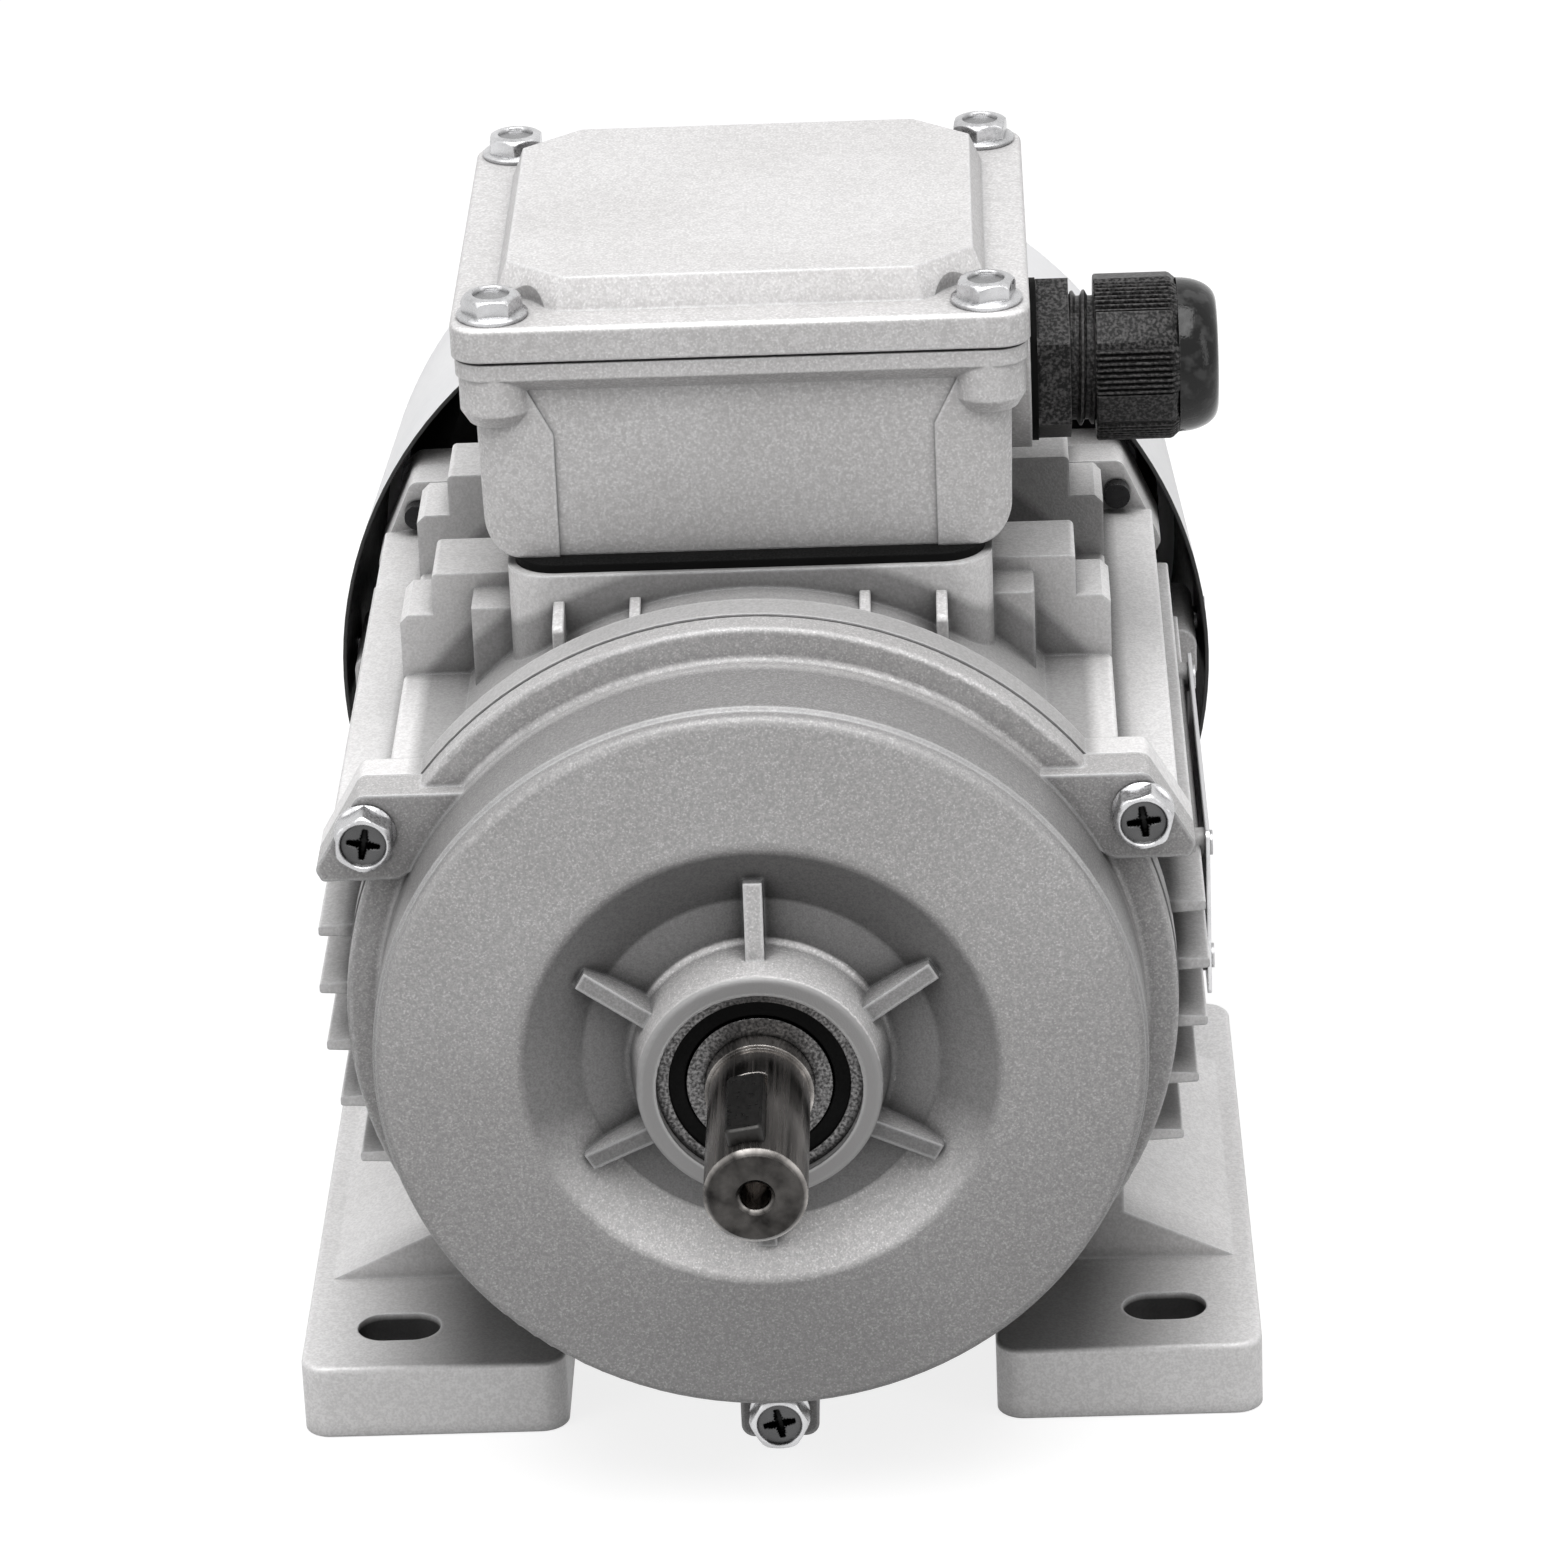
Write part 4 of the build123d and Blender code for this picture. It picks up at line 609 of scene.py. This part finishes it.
def flange_screws(name, node, places, along_y, flats, flange, head, dish, cross, material):
    """Hexagon flange screws with a rounded top, for a node whose screws all point the same way.

    places are (x, z, turn, cross turn) for screws along Y and (x, y, turn, 0) for screws along Z.
    flats, flange and head are the head's width, the flange's diameter and the head's height.
    dish is the radius and depth of the hollow in the head; cross says if a cross is cut in it.
    """
    spokes, round_steps = 96, 10
    shank, rim, cone = 2.0 * MM, 0.7 * MM, 1.0 * MM
    round_height = 1.2 * MM
    dish_rings = (2.35 * MM, 2.15 * MM, 1.8 * MM, 1.5 * MM, 1.15 * MM, 0.8 * MM, 0.4 * MM)
    # The dish and the cross cut in it are darkened with painted shade through the shade attribute
    cut_shade = 0.03
    cut, dish_shade = (1.5 * MM, 0.17) if cross else (0.0, 0.5)
    low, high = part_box(node)
    top, foot = (low[1], high[1]) if along_y else (high[2], low[2])
    dish_radius, dish_depth = dish
    cap = dish_radius + 0.25 * MM
    corner = flats / 2 / math.cos(math.pi / 6)

    def rings(angle, twist):
        """Height above the seat, radius and shade of each ring at this angle."""
        six = flats / 2 / math.cos(angle % (math.pi / 3) - math.pi / 6)
        slope = (flange / 2 - six) / (flange / 2 - flats / 2)
        out = [
            (-abs(top - foot) + head, shank, 1.0),
            (0.0, shank, 1.0),
            (0.0, flange / 2, 1.0),
            (rim * 0.8, flange / 2, 1.0),
            (rim, flange / 2 - 0.15 * MM, 1.0),
            (rim + (cone - rim) * slope, six, 1.0),
        ]
        for i in range(round_steps + 1):
            t = i / round_steps
            reach = cap + (corner - cap) * math.sqrt(1 - t * t)
            out.append((head - round_height + round_height * t, min(six, reach), 1.0))
        out.append((head - 0.08 * MM, dish_radius + 0.1 * MM, 1.0))
        out.append((head - dish_depth, dish_radius - 0.1 * MM, dish_shade))
        for radius in dish_rings:
            sunk = cross and in_cross(radius, angle + twist)
            fall, shade = (dish_depth + cut, cut_shade) if sunk else (dish_depth, dish_shade)
            out.append((head - fall, radius, shade))
        return out

    verts, faces, shades = [], [], []
    for x, other, turn, cross_turn in places:
        first = len(verts)
        rows = [rings(2 * math.pi * i / spokes, turn - cross_turn) for i in range(spokes)]
        count = len(rows[0])
        points = [(2 * math.pi * i / spokes, *point) for i, row in enumerate(rows) for point in row]
        points.append((0.0, rows[0][0][0], 0.0, 1.0))
        points.append((0.0, head - dish_depth - cut, 0.0, cut_shade if cross else dish_shade))
        for angle, height, radius, shade in points:
            a, b = radius * math.cos(angle + turn), radius * math.sin(angle + turn)
            if along_y:
                verts.append((x + a, top + head - height, other + b))
            else:
                verts.append((x + a, other + b, top - head + height))
            shades.append(shade)
        foot_middle = first + spokes * count
        for i in range(spokes):
            a, b = first + i * count, first + (i + 1) % spokes * count
            for k in range(count - 1):
                faces.append((a + k, a + k + 1, b + k + 1, b + k))
            faces.append((foot_middle, a, b))
            faces.append((foot_middle + 1, b + count - 1, a + count - 1))
    made = mesh_piece(name, verts, faces, material, angle=28)
    layer = made.data.color_attributes.new(name="shade", type="FLOAT_COLOR", domain="POINT")
    for point, shade in zip(layer.data, shades):
        point.color = (shade, shade, shade, 1.0)
    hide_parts(node)


def all_flange_screws(material):
    """The shield's three screws, with a cross, and the lid's four, with a plain dish."""
    ear_x, ear_z, bottom_z = 53.56 * MM, 101.4 * MM, 8.3 * MM
    flange_screws("shield_screws", "drive_end_screws",
                  [(-ear_x, ear_z, 0.50, -0.20), (ear_x, ear_z, 0.25, 0.12), (0.0, bottom_z, 0.0, 0.19)],
                  True, 7.6 * MM, 8.7 * MM, 4.6 * MM, (3.15 * MM, 0.6 * MM), True, material)
    lid_x, lid_front, lid_rear = 34.2 * MM, -34.1 * MM, 33.3 * MM
    flange_screws("box_lid_screws", "lid_screws",
                  [(-lid_x, lid_front, 0.1, 0), (lid_x, lid_front, 0.3, 0),
                   (-lid_x, lid_rear, 0.5, 0), (lid_x, lid_rear, 0.4, 0)],
                  False, 7.4 * MM, 9.9 * MM, 3.4 * MM, (2.5 * MM, 0.5 * MM), False, material)


def pad_ribs(material):
    """Four thin ribs between the frame's tube and the front of the terminal pad."""
    front, wall, half = -47.5 * MM, -40.6 * MM, 0.8 * MM
    tube_radius, sunk = 54.4, 1.0
    verts, faces = [], []
    for x, top in ((-26.75, 124.3), (-16.05, 124.6), (16.05, 124.6), (26.75, 124.3)):
        foot = (71.0 + math.sqrt(tube_radius ** 2 - x * x) - sunk) * MM
        top, x = top * MM, x * MM
        outline = [(wall, foot), (front, foot), (front, top - 2.2 * MM), (front + 0.5 * MM, top - 1.5 * MM),
                   (wall, top)]
        left = len(verts)
        for side in (-half, half):
            verts += [(x + side, y, z) for y, z in outline]
        count = len(outline)
        right = left + count
        faces += [[left + k for k in range(count)], [right + k for k in range(count)]]
        for k in range(count):
            after = (k + 1) % count
            faces.append([left + k, left + after, right + after, right + k])
    made = mesh_piece("pad_ribs", verts, faces, material)
    soften = made.modifiers.new("soften", "BEVEL")
    soften.width, soften.segments = 0.25 * MM, 2


def gland_threads(material):
    """Two turns of thread on the gland's neck, between its hexagon and the nut."""
    centre = middle("gland_nut")
    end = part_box("gland_nut")[0][0]
    start = end - 3.6 * MM
    pitch, root, crest = 1.7 * MM, 8.85 * MM, 9.75 * MM
    steps, corners = 96, 5
    turns = (end - start) / pitch
    verts, faces = [], []
    for i in range(steps + 1):
        angle = 2 * math.pi * turns * i / steps
        x = start + (end - start) * i / steps
        ends = min(1.0, 6.0 * i / steps, 6.0 * (steps - i) / steps)
        peak = root + (crest - root) * ends
        for along, r in ((-0.62, root), (-0.16, peak), (0.16, peak), (0.62, root), (0.0, root - 0.3 * MM)):
            kept = min(max(x + along * MM, start), end)
            verts.append((kept, centre[1] - r * math.cos(angle), centre[2] + r * math.sin(angle)))
    for i in range(steps):
        for k in range(corners):
            a, b = i * corners + k, i * corners + (k + 1) % corners
            faces.append((a, b, b + corners, a + corners))
    faces += [tuple(range(corners)), tuple(steps * corners + k for k in range(corners))]
    thread = mesh_piece("gland_thread", verts, faces, material)


# Floor, backdrop and light
def white_floor():
    """White where it is seen or mirrored, and a dim grey for the light that it throws back."""
    reach, drop = 6.0, 0.0002
    data = bpy.data.meshes.new("floor")
    data.from_pydata([(-reach, -reach, 0), (reach, -reach, 0), (reach, reach, 0), (-reach, reach, 0)], [],
                     [(0, 1, 2, 3)])
    floor = bpy.data.objects.new("floor", data)
    floor.location.z = -drop
    bpy.context.scene.collection.objects.link(floor)
    s = Shader("floor", (0.30, 0.30, 0.30), roughness=0.9, Specular_IOR_Level=0.0,
               Emission_Color=(1, 1, 1, 1))
    path = s.node("ShaderNodeLightPath")
    seen = s.math("MAXIMUM", (path, "Is Camera Ray"), (path, "Is Glossy Ray"))
    seen = s.math("MAXIMUM", seen, (path, "Is Transmission Ray"))
    s.feed(s.product(seen, 0.82), s.bsdf, "Emission Strength")
    data.materials.append(s.material)


def white_world():
    """White where it is seen or mirrored, and dimmer as a light."""
    light_level = 0.26
    world = bpy.data.worlds.new("world")
    bpy.context.scene.world = world
    world.use_nodes = True
    tree = world.node_tree
    tree.nodes.clear()
    out = tree.nodes.new("ShaderNodeOutputWorld")
    back = tree.nodes.new("ShaderNodeBackground")
    back.inputs["Color"].default_value = (1, 1, 1, 1)
    rays = tree.nodes.new("ShaderNodeLightPath")
    seen = rays.outputs["Is Camera Ray"]
    for kind in ("Is Transmission Ray", "Is Glossy Ray"):
        either = tree.nodes.new("ShaderNodeMath")
        either.operation = "MAXIMUM"
        tree.links.new(seen, either.inputs[0])
        tree.links.new(rays.outputs[kind], either.inputs[1])
        seen = either.outputs[0]
    level = tree.nodes.new("ShaderNodeMapRange")
    level.inputs["To Min"].default_value = light_level
    level.inputs["To Max"].default_value = 1.0
    tree.links.new(seen, level.inputs["Value"])
    tree.links.new(level.outputs["Result"], back.inputs["Strength"])
    tree.links.new(back.outputs[0], out.inputs[0])


def lamp(name, place, size, power):
    """A rectangular light that looks at the middle of the motor."""
    target = Vector((0, 0, 0.08))
    data = bpy.data.lights.new(name, "AREA")
    data.shape = "RECTANGLE"
    data.size, data.size_y = size
    data.energy = power
    made = bpy.data.objects.new(name, data)
    made.location = place
    made.rotation_mode = "QUATERNION"
    made.rotation_quaternion = (target - Vector(place)).to_track_quat("-Z", "Y")
    bpy.context.scene.collection.objects.link(made)


make_camera()
slots = paint_slots()
gland_cap(slots["gland_nylon"])
pad_ribs(slots["cast_aluminium"])
all_flange_screws(machined("screw_zinc", (0.60, 0.60, 0.61), 0.27, shaded_by="shade"))
gland_threads(slots["gland_nylon"])
white_floor()
white_world()
lamp("top_light", (-0.03, -0.32, 1.20), (1.2, 1.0), 17.0)
lamp("left_light", (-1.0, -0.70, 0.55), (0.4, 0.9), 1.9)
lamp("right_light", (1.05, -0.60, 0.50), (0.3, 0.9), 1.6)

bpy.context.scene.view_settings.view_transform = "Standard"
